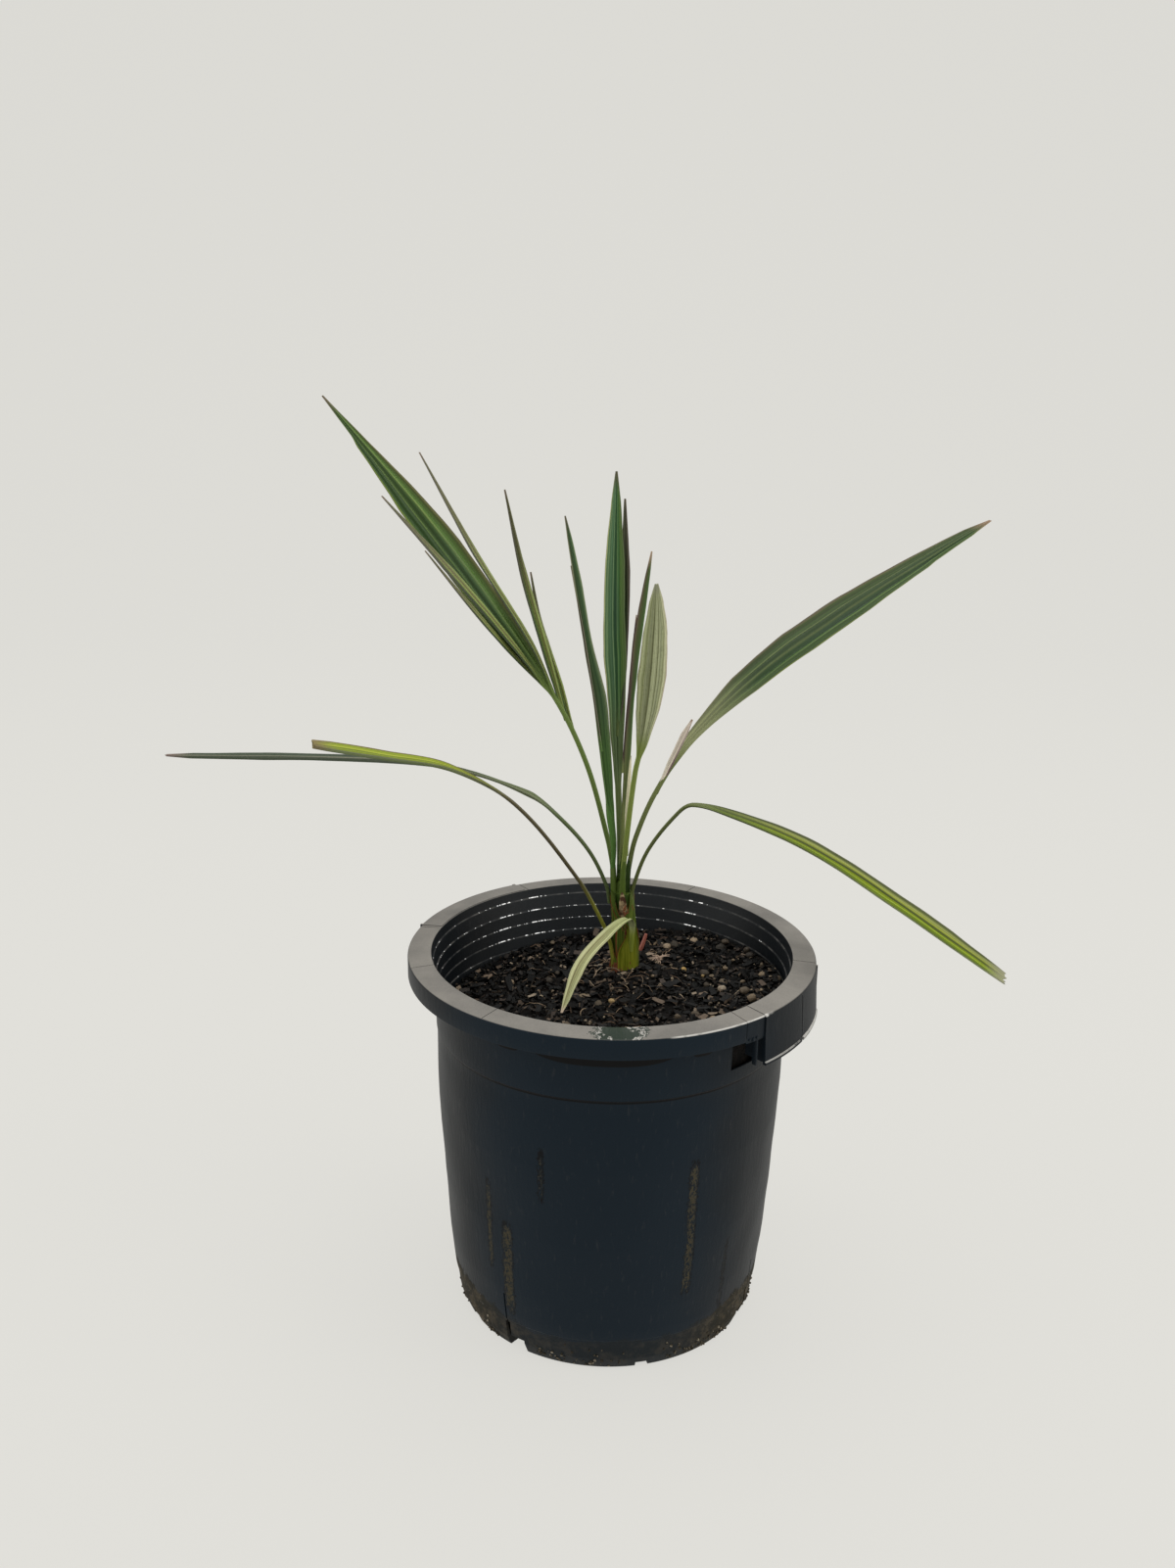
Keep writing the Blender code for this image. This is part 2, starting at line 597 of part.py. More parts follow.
def smooth_path(points, steps=16):
    """Points along a smooth curve through the given ones, with its tangents level with their neighbours."""
    knots = [Vector(point) for point in points]
    padded = [2 * knots[0] - knots[1]] + knots + [2 * knots[-1] - knots[-2]]
    slopes = [(after - before).normalized() for before, after in zip(padded, padded[2:])]
    path = []
    for start, end, leaving, arriving in zip(knots, knots[1:], slopes, slopes[1:]):
        reach = (end - start).length / 3
        handles = start + leaving * reach, end - arriving * reach
        path += interpolate_bezier(start, *handles, end, steps + 1)[:-1]
    return path + [knots[-1]]


def walk(path, share):
    """Point and unit tangent at a share of a path's length."""
    lengths = [(end - start).length for start, end in zip(path, path[1:])]
    left = share * sum(lengths)
    for start, end, length in zip(path, path[1:], lengths):
        if left <= length + 1e-6:
            return start.lerp(end, left / length), (end - start).normalized()
        left -= length
    return path[-1], (path[-1] - path[-2]).normalized()


def leaf_ring(blade, path, share, grow=0.0):
    """Ring of points round a leaf at a share of its length: its upper side, then its under side back."""
    centre, along = walk(path, share)
    level = direction(blade.facing + 90)
    side = (level - level.dot(along) * along).normalized()
    side.rotate(Quaternion(along, math.radians(blade.roll)))
    upwards = along.cross(side)
    spread = ease((share - blade.stalk) / SPREAD_SHARE)
    half = between(blade.widths, share) / 2
    thick = blade.stalk_thick + (BLADE_THICK - blade.stalk_thick) * spread
    edge = STALK_EDGE + (1 - STALK_EDGE) * spread
    fold = math.radians(blade.fold) * spread
    upper, under = [], []
    for column in range(blade.columns):
        across = 2 * column / (blade.columns - 1) - 1
        pleat = PLEAT * half * spread * (1 if column % 2 else -1)
        middle = centre + side * (half * across * math.cos(fold))
        middle += upwards * (half * (abs(across) - 0.5) * math.sin(fold) + pleat)
        depth = thick / 2 * (edge + (1 - edge) * math.sqrt(max(0.0, 1 - across * across)))
        upper.append(middle + upwards * (depth + grow) + side * (grow * across))
        under.append(middle - upwards * (depth + grow) + side * (grow * across))
    return upper + under[::-1]


def split_alike(shape, rings, columns):
    """Split the quads of a leaf's two sides along matching diagonals, and its end caps into strips."""
    count = 2 * columns
    corners = {}
    for vert in shape.verts:
        corners.setdefault(tuple(round(value, 4) for value in vert.co), vert)
    grid = [[corners[tuple(round(value, 4) for value in point)] for point in ring] for ring in rings]

    def cut(first, second):
        for face in first.link_faces:
            if second in face.verts and not shape.edges.get((first, second)):
                bmesh.utils.face_split(face, first, second)
                return

    for near, far in zip(grid, grid[1:]):
        for column in range(columns - 1):
            cut(near[column], far[column + 1])
            cut(near[count - 1 - column], far[count - 2 - column])
        cut(near[0], far[count - 1])
        cut(near[columns - 1], far[columns])
    for ring in (grid[0], grid[-1]):
        for column in range(1, columns - 1):
            cut(ring[column], ring[count - 1 - column])


def leaf_body(name, blade, shares=None, grow=0.0):
    """Closed body of a leaf through rings at shares of its length, made fatter all round by grow."""
    path = smooth_path(blade.spine)
    rings = [leaf_ring(blade, path, share, grow) for share in shares or leaf_shares(blade)]
    shape = loft(name, rings)
    split_alike(shape, rings, blade.columns)
    return add_object(name, shape)


def leaf_shares(blade):
    """Shares of its length at which a leaf has its rings."""
    return [number / blade.stations for number in range(blade.stations + 1)]


def leaf_length(blade):
    """Length of a leaf along its spine."""
    path = smooth_path(blade.spine)
    return sum((end - start).length for start, end in zip(path, path[1:]))


def make_leaf(name, blades):
    """One frond: its main blade, with its leaflets or side lobes joined on where it has them."""
    frond = leaf_body(name, blades[0])
    if len(blades) > 1:
        leaflets = [leaf_body("leaflet", blade) for blade in blades[1:]]
        combine(frond, leaflets, "UNION")
    return finish(frond, sharp=35)


def make_crown():
    """Stem base: a core sunk in the potting mix, with a sheath and a pocket for each leaf stalk."""
    around = [direction(360 * number / CROWN_SIDES) for number in range(CROWN_SIDES)]
    rings = [[Vector((x, y, height)) + way * radius for way in around]
             for height, x, y, radius in CROWN_CORE]
    crown = add_object("crown", loft("crown", rings))
    stalks = [blades[0] for blades in LEAVES.values()]
    sheaths = []
    pockets = []
    for blade in stalks:
        length = leaf_length(blade)
        sheath = [place / length for place in (-SHEATH_FLOOR, SHEATH_LENGTH / 2, SHEATH_LENGTH)]
        sheaths.append(leaf_body("sheath", blade, sheath, SHEATH_WALL))
        reach = POCKET_LENGTH / length + 1 / blade.stations
        stretch = [share for share in leaf_shares(blade)[1:] if share < reach]
        pockets.append(leaf_body("pocket", blade, [-CLEARANCE / length] + stretch, CLEARANCE))
    combine(crown, sheaths, "UNION")
    combine(crown, pockets, "DIFFERENCE")
    return finish(crown, sharp=35)


def main():
    """Make every sub-part of the potted palm."""
    clear_scene()
    draw = random.Random(SEED)
    make_pot()
    make_mix(draw)
    make_crown()
    for name, blades in LEAVES.items():
        make_leaf(name, blades)


main()
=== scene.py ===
"""Potted date palm: the finished look of a young palm with ten leaves in a black nursery pot.

Shapes are worked out in millimetres in the part's own frame and turned into metres when a piece is done.
The origin is the middle of the pot's underside, +Z is up, and the side seen from the front faces -Y.
Azimuths are degrees anticlockwise from +X, seen from above, so the front is at -90.
"""

import json
import math
import random
from dataclasses import dataclass

import bmesh
import bpy
from bpy.props import FloatProperty, FloatVectorProperty, IntProperty, PointerProperty
from bpy.types import Operator, Panel, PropertyGroup
from mathutils import Matrix, Quaternion, Vector, noise
from mathutils.geometry import interpolate_bezier

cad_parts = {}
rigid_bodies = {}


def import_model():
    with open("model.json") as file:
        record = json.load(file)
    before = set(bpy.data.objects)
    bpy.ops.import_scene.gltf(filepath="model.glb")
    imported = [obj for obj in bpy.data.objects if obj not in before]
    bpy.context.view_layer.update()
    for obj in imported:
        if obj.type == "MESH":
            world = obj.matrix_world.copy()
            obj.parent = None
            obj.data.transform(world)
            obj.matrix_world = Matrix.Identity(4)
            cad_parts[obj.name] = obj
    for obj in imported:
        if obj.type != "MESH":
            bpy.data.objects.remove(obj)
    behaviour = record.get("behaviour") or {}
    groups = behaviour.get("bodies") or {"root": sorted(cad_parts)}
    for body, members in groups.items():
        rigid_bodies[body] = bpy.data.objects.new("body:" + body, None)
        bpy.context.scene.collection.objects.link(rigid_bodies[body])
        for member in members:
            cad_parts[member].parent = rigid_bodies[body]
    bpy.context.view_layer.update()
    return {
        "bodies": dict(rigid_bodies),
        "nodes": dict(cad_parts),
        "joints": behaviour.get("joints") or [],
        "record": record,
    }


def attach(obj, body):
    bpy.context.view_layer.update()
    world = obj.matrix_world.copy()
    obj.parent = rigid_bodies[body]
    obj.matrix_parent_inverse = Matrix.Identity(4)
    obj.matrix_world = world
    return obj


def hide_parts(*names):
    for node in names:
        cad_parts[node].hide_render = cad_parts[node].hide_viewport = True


bl_info = {
    "name": "Potted date palm",
    "version": (1, 0, 0),
    "blender": (4, 5, 0),
    "location": "3D View > Sidebar > Palm",
    "description": "Builds a young date palm in a nursery pot, with its potting mix and a studio stage",
    "category": "Object",
}

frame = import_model()
BODY = "root"
MM = 0.001
BLACK = (0.001, 0.001, 0.0015)

# Pot profile, as in the part
WALL = 1.6
RING_TOP = 236.0
RING_INNER = 111.0
RING_OUTER = 125.4
RING_FALL = 0.8
RING_ROUND = 0.7
COLLAR_FOOT = 222.5
FLOOR_TOP = 6.0
FLOOR_UNDER = 4.0
PAD_RADIUS = 33.0
PAD_SLOPE = 2.0
FOOT_INNER = 84.5
FOOT_SLOPE = 1.5
WALL_OUTSIDE = (
    (0.0, 92.0), (8.0, 95.5), (21.8, 97.2), (22.4, 98.0), (46.0, 100.7), (89.0, 104.3),
    (140.0, 107.0), (187.6, 107.6), (188.2, 108.2), (220.0, 109.5), (234.2, 112.4),
)
"""Height and radius of the wall's outside, with its two small steps."""
CAVITY_HEIGHTS = (187.0, 140.0, 89.0, 46.0, 18.0)
CAVITY_FOOT = ((92.6, 7.6), (90.8, 6.0))
LEDGE_TOP = 230.0
LEDGE_PITCH = 8.5
LEDGE_COUNT = 5
LEDGE_STEP = 0.4
LEDGE_SLANT = 0.2
GRIP_SPANS = ((-47.0, -9.5), (121.2, 164.8))
GRIP_FOOT = 204.5
GRIP_PROUD = 0.3
GRIP_FLARE = 1.3
GRIP_LIP = 0.7
GRIP_LIP_HEIGHT = 2.0
GRIP_SLIT = {"azimuth": -28.5, "width": 0.8, "depth": 2.6}
FIN_THICK = 1.8
FIN_FOOT = 206.0
HOOK = {"azimuth": -49.4, "thick": 1.3, "depth": 3.2, "foot": 205.5}
SHELF_START = -53.5
SHELF_LOW = 221.4
SHELF_HIGH = 223.4
WINDOW = {"azimuth": -46.0, "width": 19.0, "low": 196.5, "high": 212.0}
LAP = 0.6
DRAIN_SLOTS = ((-124.8, -1), (-27.0, 1), (22.0, -1), (70.0, 1), (118.0, -1), (166.0, 1))
"""Azimuth of each opening, and the side that its slit is on, which is 1 for anticlockwise."""
DRAIN_CUTS = ((0.0, 11.4, 10.0), (5.9, 3.4, 20.0), (5.9, 1.0, 42.0))
"""Sideways place, width and height of the opening, of the slit and of the narrow end of the slit."""
NOTCHES = ((-151.0, 10.0, 5.0), (-76.5, 8.0, 3.5), (95.0, 8.0, 3.5))
CUT_NEAR = FOOT_INNER - 1.0
CUT_FAR = 106.0

# Marks on the pot that only the look needs, painted shadows and highlights among them
FRONT = -93.0
"""Azimuth of the middle of the wall as the camera sees it."""
RING_MIDDLE = 118.0
WALL_MIDDLE = 105.0
"""Radius of the middle of the flat ring, and of the wall where the streaks are."""
RING_SEAMS = (-126.0, SHELF_START, -8.0, 62.0, 120.0, 166.0, -164.0)
SEAM_WIDTH = 0.4
SEAM_DEPTH = 1.1
MUD_TOP = 22.0
STEP_SHADE_HEIGHT = 187.4
STREAKS = (
    (-133.0, 3.0, 62.0, 118.0, 0.6), (-125.5, 5.5, 34.0, 92.0, 1.0), (-112.0, 3.0, 120.0, 152.0, 0.35),
    (-62.5, 4.5, 56.0, 142.0, 0.75), (-46.0, 3.0, 30.0, 80.0, 0.3), (48.0, 5.0, 30.0, 110.0, 0.7),
    (150.0, 4.0, 60.0, 140.0, 0.6),
)
"""Azimuth, width, lowest and highest point and strength of each dirty water streak on the wall."""
COLLAR_SHADOWS = ((-123.5, 5.0, 3.2), (-93.0, 22.5, 4.6), (-62.0, 4.0, 3.2))
# Azimuth, half width and thickness of each painted shadow on the wall just under the collar's foot.
"""Azimuth, half width and thickness of the dark gaps between the collar's foot and the wall."""
COLLAR_SHADOW_TOP = 214.8
WET_MIDDLE = -88.5
"""Azimuth of the wet patch on the flat ring."""
EDGE_HIGHLIGHT_MIDDLE = -60.0
EDGE_HIGHLIGHT_HALF = 15.0
# Azimuth and half width of the painted highlight on the ring's outer edge.
"""Azimuth and half width of the pale worn line on the ring's outer edge."""
GLINTS = ((131.0, 3.2, 4, 6), (117.3, 4.0, 4, 8), (58.8, 3.0, 3, 5))
"""Azimuth, spread, ledges and count of the bright drops in each column inside the mouth."""
DIRT_SEED = 5
FINE_DROPS = 150
FINE_DROPS_MIDDLE = 112.0
FINE_DROPS_SPREAD = 34.0
MUD_CRUMBS = 620
MUD_CRUMBS_TOP = 24.0
CUT_CLEAR = 7.0
"""Degrees on each side of a slot or notch that stay free of mud crumbs."""

# Potting mix, as in the part
MIX_RADIUS = 105.4
MIX_LEVEL = 203.5
MIX_SLOPE = 12.0
MIX_HEAP = 5.0
MIX_HEAP_REACH = 38.0
MIX_ROLL = 1.6
MIX_SUNK = 1.0
MIX_SKIN = 25.0
"""How far the fine crumb lies below the level of the bits, and how deep it is made."""
FOOT = Vector((9.0, 30.0))
STEM_CLEAR = 8.5
PEBBLE_CLEAR = 9.5
"""Distances that the bark and the pebbles keep from the middle of the stem."""
ROOT_REACH = 96.0
ROOT_END = 102.0
"""How far from the middle of the pot a root may start and may end."""
BIG_PEBBLES = (
    (72.0, 55.0, 3.4), (90.0, 40.0, 3.0), (76.0, 64.0, 2.6), (82.0, -12.0, 3.4), (60.0, 20.0, 2.8),
    (50.0, -40.0, 2.6), (95.0, 8.0, 2.6), (-20.0, -62.0, 2.4), (-64.0, 30.0, 2.4),
)
"""Place and radius of the largest pebbles."""
STRAWS = Vector((30.8, 37.9))
"""Middle of a small heap of pale straws."""
STRAW_COUNT = 22
TWIG_FOOT = Vector((18.0, 58.0))
TWIG_RISE = Vector((5.5, 2.0, 15.0))

# Tones of the bits: each stop's share of the bits and its linear colour
CHIP_TONES = (
    (0.0, (0.001, 0.001, 0.0012)), (0.68, (0.003, 0.003, 0.003)), (0.84, (0.014, 0.012, 0.011)),
    (0.93, (0.06, 0.045, 0.036)), (0.98, (0.17, 0.125, 0.09)), (1.0, (0.34, 0.28, 0.21)),
)
CRUMB_TONES = (
    (0.0, (0.001, 0.001, 0.001)), (0.68, (0.004, 0.0035, 0.003)), (0.86, (0.024, 0.019, 0.015)),
    (0.95, (0.11, 0.08, 0.06)), (1.0, (0.36, 0.29, 0.2)),
)
PEBBLE_TONES = (
    (0.0, (0.02, 0.017, 0.014)), (0.3, (0.055, 0.043, 0.031)), (0.6, (0.13, 0.1, 0.068)),
    (0.85, (0.24, 0.18, 0.118)), (0.97, (0.34, 0.28, 0.21)), (1.0, (0.42, 0.26, 0.06)),
)
ROOT_TONES = (
    (0.0, (0.06, 0.035, 0.022)), (0.45, (0.18, 0.12, 0.08)), (0.8, (0.36, 0.27, 0.18)),
    (1.0, (0.5, 0.4, 0.29)),
)
MUD_TONES = ((0.0, (0.02, 0.016, 0.01)), (0.7, (0.06, 0.05, 0.034)), (1.0, (0.3, 0.26, 0.2)))
SOIL_TONES = ((0.35, (0.002, 0.002, 0.002)), (0.6, (0.008, 0.006, 0.005)), (0.85, (0.04, 0.028, 0.02)))
"""Tones of the fine crumb between the bits, by the value of its noise."""
TWIG_TONE = (0.38, 0.12, 0.085)

# Stage, in metres and watts
PAPER_GLOW = 0.84
PAPER_SHADE = 0.14
"""How much of the backdrop's brightness is its own, and how much it takes from the lights."""
PAPER_HALF = 6.0
PAPER_LEVEL = 2.0
PAPER_BEND = 1.5
PAPER_TOP = 5.0
"""Half width of the paper, where its level part ends behind, the radius of its bend and its height."""
WORLD_STRENGTH = 0.85
LIGHTS = (
    ("top_light", (0.2, 0.3, 2.4), (0, 0, 0.3), 2.2, 26.0, (1.0, 0.99, 0.97)),
    ("right_light", (2.0, -0.5, 1.2), (0, 0, 0.2), 1.3, 14.0, (1.0, 0.96, 0.9)),
    ("left_light", (-2.1, -0.2, 1.1), (0, 0, 0.2), 1.3, 11.0, (1.0, 0.96, 0.91)),
)
"""Name, place, aim, size, power and colour of each soft light."""

# Stem base and leaves
CROWN_CORE = (
    (191.5, 9.0, 30.0, 8.0), (209.0, 9.0, 30.0, 8.0), (236.0, 8.0, 30.2, 7.8),
    (262.0, 6.0, 30.8, 7.2), (285.0, 4.6, 31.2, 6.4),
)
"""Height, centre x, centre y and radius of the stem base."""
STEM_MIDDLE = Vector((7.6, 30.3, 226))
FIBRE_MIDDLE = Vector((8.6, 30.1, 0))
CORE_RADII = (7.2, 5.6)
CORE_HEIGHT = 70
CORE_TONE_PLACE = (0.5, 0.6)
"""Where on a sheath's map the core and the stalks' feet take their colour from."""
STALK_ROOT = Vector((5.8, 30.8, 255))
FRAY = (1, 1, 0.8, 0.4)
"""Share of its thickness that a fibre has at each of its points."""
FIBRE_SEED = 9
FIBRE_COUNT = 46
FIBRES_IN_FRONT = 30
SCRAP_COUNT = 16
SCRAP_FORKS = (-92, -96, -86, -140, -48)
"""Azimuths of the forks between the sheaths that hold papery scraps."""
SHEATH_THICK = 0.6
STALK_THICK = 2.4
BLADE_THICK = 0.6
PLEAT = 0.07
"""Depth of a leaf's pleats as a share of its half width."""
SPREAD_SHARE = 0.08
"""Share of a leaf's length over which its round stalk opens into the flat blade."""


@dataclass
class Blade:
    """A blade and the stalk it stands on, in millimetres and degrees, as in the part, with its finer form.

    Widths are given by share of the length. A step is the side of the blade, the share of the length at which
    that side narrows, and the share of its width that it loses.
    """

    spine: tuple
    widths: tuple
    stalk: float
    facing: float
    roll: float = 0.0
    fold: float = 18.0
    ribs: int = 2
    columns: int = 20
    stations: int = 90
    stalk_thick: float = STALK_THICK
    ragged: float = 0.0
    leaflet: bool = False
    steps: tuple = ()


LEAFLET = {"stalk": 0.04, "columns": 10, "stations": 50, "stalk_thick": 1.4, "leaflet": True}

LEAVES = {
    "frond_back_left": (
        Blade(
            spine=((0.3, 36.5, 276), (-3.2, 41.5, 292), (-17.5, 51, 339), (-38, 67, 377), (-76, 95, 422),
                   (-138, 143, 490), (-200, 193, 553)),
            widths=((0, 3.4), (0.3, 3.2), (0.36, 9), (0.42, 15.5), (0.5, 20), (0.62, 23.5), (0.72, 20.5),
                    (0.87, 9.5), (1, 1.6)),
            stalk=0.31, facing=142, roll=-25, fold=12, ribs=3, columns=28, stations=140,
            steps=((1, 0.87, 0.35),)),
        Blade(
            spine=((-36, 65, 374), (-53, 82, 407), (-93, 128, 459), (-132, 166, 519)),
            widths=((0, 2), (0.25, 6.5), (0.6, 8), (1, 1.6)), facing=138, roll=10, fold=20, **LEAFLET),
        Blade(
            spine=((-42, 69, 381), (-70, 83, 413), (-107, 102, 451), (-153, 131, 494)),
            widths=((0, 2), (0.25, 7.5), (0.6, 9.5), (1, 1.6)), facing=148, fold=12, **LEAFLET),
        Blade(
            spine=((-40, 68, 379), (-64, 77, 401), (-90, 83, 429), (-122, 98, 464)),
            widths=((0, 2), (0.3, 5.5), (0.6, 6), (1, 1.4)), facing=152, fold=12, **LEAFLET),
        Blade(
            spine=((-31, 61, 364), (-46, 83, 408), (-61, 112, 451), (-73, 126, 500)),
            widths=((0, 2), (0.25, 6), (0.6, 6.5), (1, 1.4)), facing=128, roll=-20, fold=35, **LEAFLET),
        Blade(
            spine=((-25, 56, 354), (-35, 78, 382), (-49, 110, 416), (-56, 125, 447)),
            widths=((0, 2), (0.3, 5), (0.6, 5), (1, 1.4)), facing=124, roll=-20, fold=35, **LEAFLET),
    ),
    "frond_centre": (
        Blade(
            spine=((4.5, 35.5, 276), (4, 36, 299), (2, 38, 340), (0, 44, 391), (-2, 50, 433),
                   (-2, 66, 519)),
            widths=((0, 3.4), (0.22, 4), (0.35, 9), (0.55, 15), (0.78, 12.5), (0.93, 6), (1, 1.4)),
            stalk=0.2, facing=95, ribs=3, columns=28, stations=110),
        Blade(
            spine=((1.4, 40.6, 360), (3.6, 44.5, 392), (4.6, 52, 439), (4.2, 58, 474), (3.5, 63, 503)),
            widths=((0, 2), (0.3, 6), (0.7, 7), (1, 1.4)), facing=95, roll=-20, fold=25, **LEAFLET),
    ),
    "frond_front_pale": (
        Blade(
            spine=((6.5, 26, 276), (7.5, 24, 291), (12, 11, 345), (15.5, 2, 366), (19, -20, 402),
                   (19.5, -52, 446), (18, -79, 476)),
            widths=((0, 3.4), (0.36, 3.2), (0.42, 8), (0.52, 15), (0.64, 17.5), (0.8, 14.5),
                    (0.93, 8), (1, 2)),
            stalk=0.38, facing=-80, ribs=3, columns=28, stations=110),
        Blade(
            spine=((8.2, 27.5, 286), (8.3, 26.5, 300), (8.2, 26, 315), (8.9, 25, 334), (9.6, 25, 352)),
            widths=((0, 3), (0.4, 3.2), (0.8, 2.4), (1, 0.8)), facing=-60, fold=5, **LEAFLET),
    ),
    "frond_right_upper": (
        Blade(
            spine=((9.8, 31, 276), (14, 33, 296), (26, 42, 323), (49, 61, 353.5), (97, 99, 388.5),
                   (151, 141, 417.5), (218, 193, 449), (269, 233, 471)),
            widths=((0, 3.4), (0.17, 3.4), (0.22, 7.5), (0.28, 13), (0.37, 24), (0.5, 30.5), (0.64, 29),
                    (0.84, 18), (0.94, 11), (1, 2.5)),
            stalk=0.17, facing=38, roll=10, ribs=3, columns=30, stations=150,
            steps=((-1, 0.8, 0.15), (-1, 0.93, 0.15))),
        Blade(
            spine=((27, 43, 322), (32.5, 46, 335.5), (38.2, 47, 348.4), (43.3, 47.5, 360), (47.9, 48, 369.4)),
            widths=((0, 1.4), (0.4, 4.2), (0.8, 4.5), (1, 1.2)), facing=-75, fold=5, **LEAFLET),
    ),
    "frond_right_lower": (
        Blade(
            spine=((12, 28.5, 252), (13.2, 28.4, 265), (22, 26, 291), (40, 20, 318), (48, 17.5, 323.5),
                   (66, 11, 321.5), (115, -4, 306), (169, -22, 276.5), (236, -44, 234.5)),
            widths=((0, 3.6), (0.25, 3.2), (0.33, 11), (0.45, 18), (0.62, 22.5), (0.85, 22), (0.96, 17),
                    (1, 13)),
            stalk=0.27, facing=-18, fold=7, ribs=3, columns=28, stations=120, ragged=0.035),
    ),
    "frond_left_long": (
        Blade(
            spine=((-1.5, 32, 253), (-3.5, 32, 264), (-15, 33, 287), (-34, 36, 308), (-53, 39, 322),
                   (-101, 45, 336.5), (-157, 53, 339.5), (-288, 72, 334)),
            widths=((0, 4), (0.1, 4), (0.2, 6), (0.27, 13), (0.33, 6.5), (0.4, 8), (0.55, 15), (0.8, 16),
                    (0.95, 12), (1, 4)),
            stalk=0.2, facing=172, roll=8, fold=24, stations=120),
    ),
    "frond_left_yellow": (
        Blade(
            spine=((1.5, 27.5, 217), (-0.5, 27.3, 227), (-6, 26, 242), (-22, 21, 273), (-60, 10, 324),
                   (-97, 0, 349.5), (-135, -11, 360), (-178, -23, 370)),
            widths=((0, 7.5), (0.08, 6.8), (0.18, 4), (0.38, 5), (0.48, 5), (0.55, 7), (0.68, 14), (0.85, 19),
                    (0.95, 18), (1, 14)),
            stalk=0.5, facing=196, fold=25, stations=110, ragged=0.02),
    ),
    "frond_front_small": (
        Blade(
            spine=((12, 23, 224), (12.6, 21.5, 234), (12.6, 20, 243), (9, 16, 248.5), (-4, 0, 244),
                   (-19, -20, 233), (-30, -42, 211)),
            widths=((0, 4), (0.14, 4), (0.25, 7), (0.45, 9), (0.75, 8.5), (0.92, 4.5), (1, 1.4)),
            stalk=0.1, facing=-118, fold=10, ribs=2, stations=80),
    ),
    "frond_left_thin": (
        Blade(
            spine=((0.2, 31, 276), (0.4, 31, 292), (-1.8, 31.3, 309), (-5, 32, 335), (-8.2, 33, 362),
                   (-11.6, 33.5, 388), (-18, 34.5, 417), (-24.5, 37, 453.6), (-32.5, 41, 495)),
            widths=((0, 3.2), (0.07, 4.4), (0.15, 6.5), (0.27, 11), (0.39, 14.3), (0.5, 15), (0.59, 11.7),
                    (0.66, 9), (0.8, 9), (0.94, 5), (1, 1.4)),
            stalk=0.14, facing=135, fold=40),
        Blade(
            spine=((-8.2, 30, 353), (-10.6, 30, 370), (-15.2, 31, 397), (-20.0, 33, 424), (-28.5, 37, 466)),
            widths=((0, 1.6), (0.4, 4), (0.8, 3), (1, 0.8)), facing=150, roll=30, fold=10, **LEAFLET),
    ),
    "frond_right_thin": (
        Blade(
            spine=((4.8, 30.8, 276), (5.8, 31, 301), (6.4, 30.5, 319), (7.4, 30, 337), (8.4, 29.5, 363),
                   (9.6, 29, 389), (12.6, 28, 425), (19, 26, 477)),
            widths=((0, 3.2), (0.12, 3.4), (0.21, 5.2), (0.39, 8.2), (0.56, 7.2), (0.74, 9.5), (0.84, 8.5),
                    (0.93, 5.5), (1, 1.4)),
            stalk=0.16, facing=-30, fold=40),
        Blade(
            spine=((5, 28.5, 340), (6.9, 28, 371), (8.1, 27.5, 389), (9.1, 27, 407), (11, 26, 439)),
            widths=((0, 1.8), (0.4, 3), (0.8, 2.4), (1, 0.8)), facing=-60, fold=10, **LEAFLET),
    ),
}


@dataclass
class LeafLook:
    """Colours of one leaf, given as screen colours from 0 to 255 in bands from one margin to the other.

    The painted bluish sheen's place is its share of the length, its reach along it, its place across and its
    half width.
    The heel is the colour of a stalk's foot.
    """

    slot: str
    bands: tuple
    back: tuple
    leaflets: tuple = ()
    stalk: tuple = (98, 118, 54)
    base: tuple = (92, 116, 60)
    tip: tuple = (112, 98, 84)
    # Colour of a painted bluish sheen; its place and strength follow.
    painted_sheen: tuple = (70, 104, 92)
    painted_sheen_place: tuple = (0.6, 0.16, 0.5, 0.2)
    painted_sheen_strength: float = 0.0
    dots: float = 0.0
    base_reach: float = 0.38
    heel: tuple = ()
    leaflet_tip: tuple = (84, 76, 66)


GREEN_BACK = ((0, (116, 126, 84)), (0.3, (132, 142, 96)), (0.5, (96, 110, 66)), (0.7, (134, 144, 98)),
              (1, (118, 126, 88)))
SIDE_LEAFLETS = ((0, (140, 152, 92)), (0.25, (116, 132, 64)), (0.34, (84, 66, 44)), (0.42, (136, 150, 80)),
                 (0.6, (84, 104, 50)), (0.8, (56, 72, 38)), (1, (48, 54, 36)))

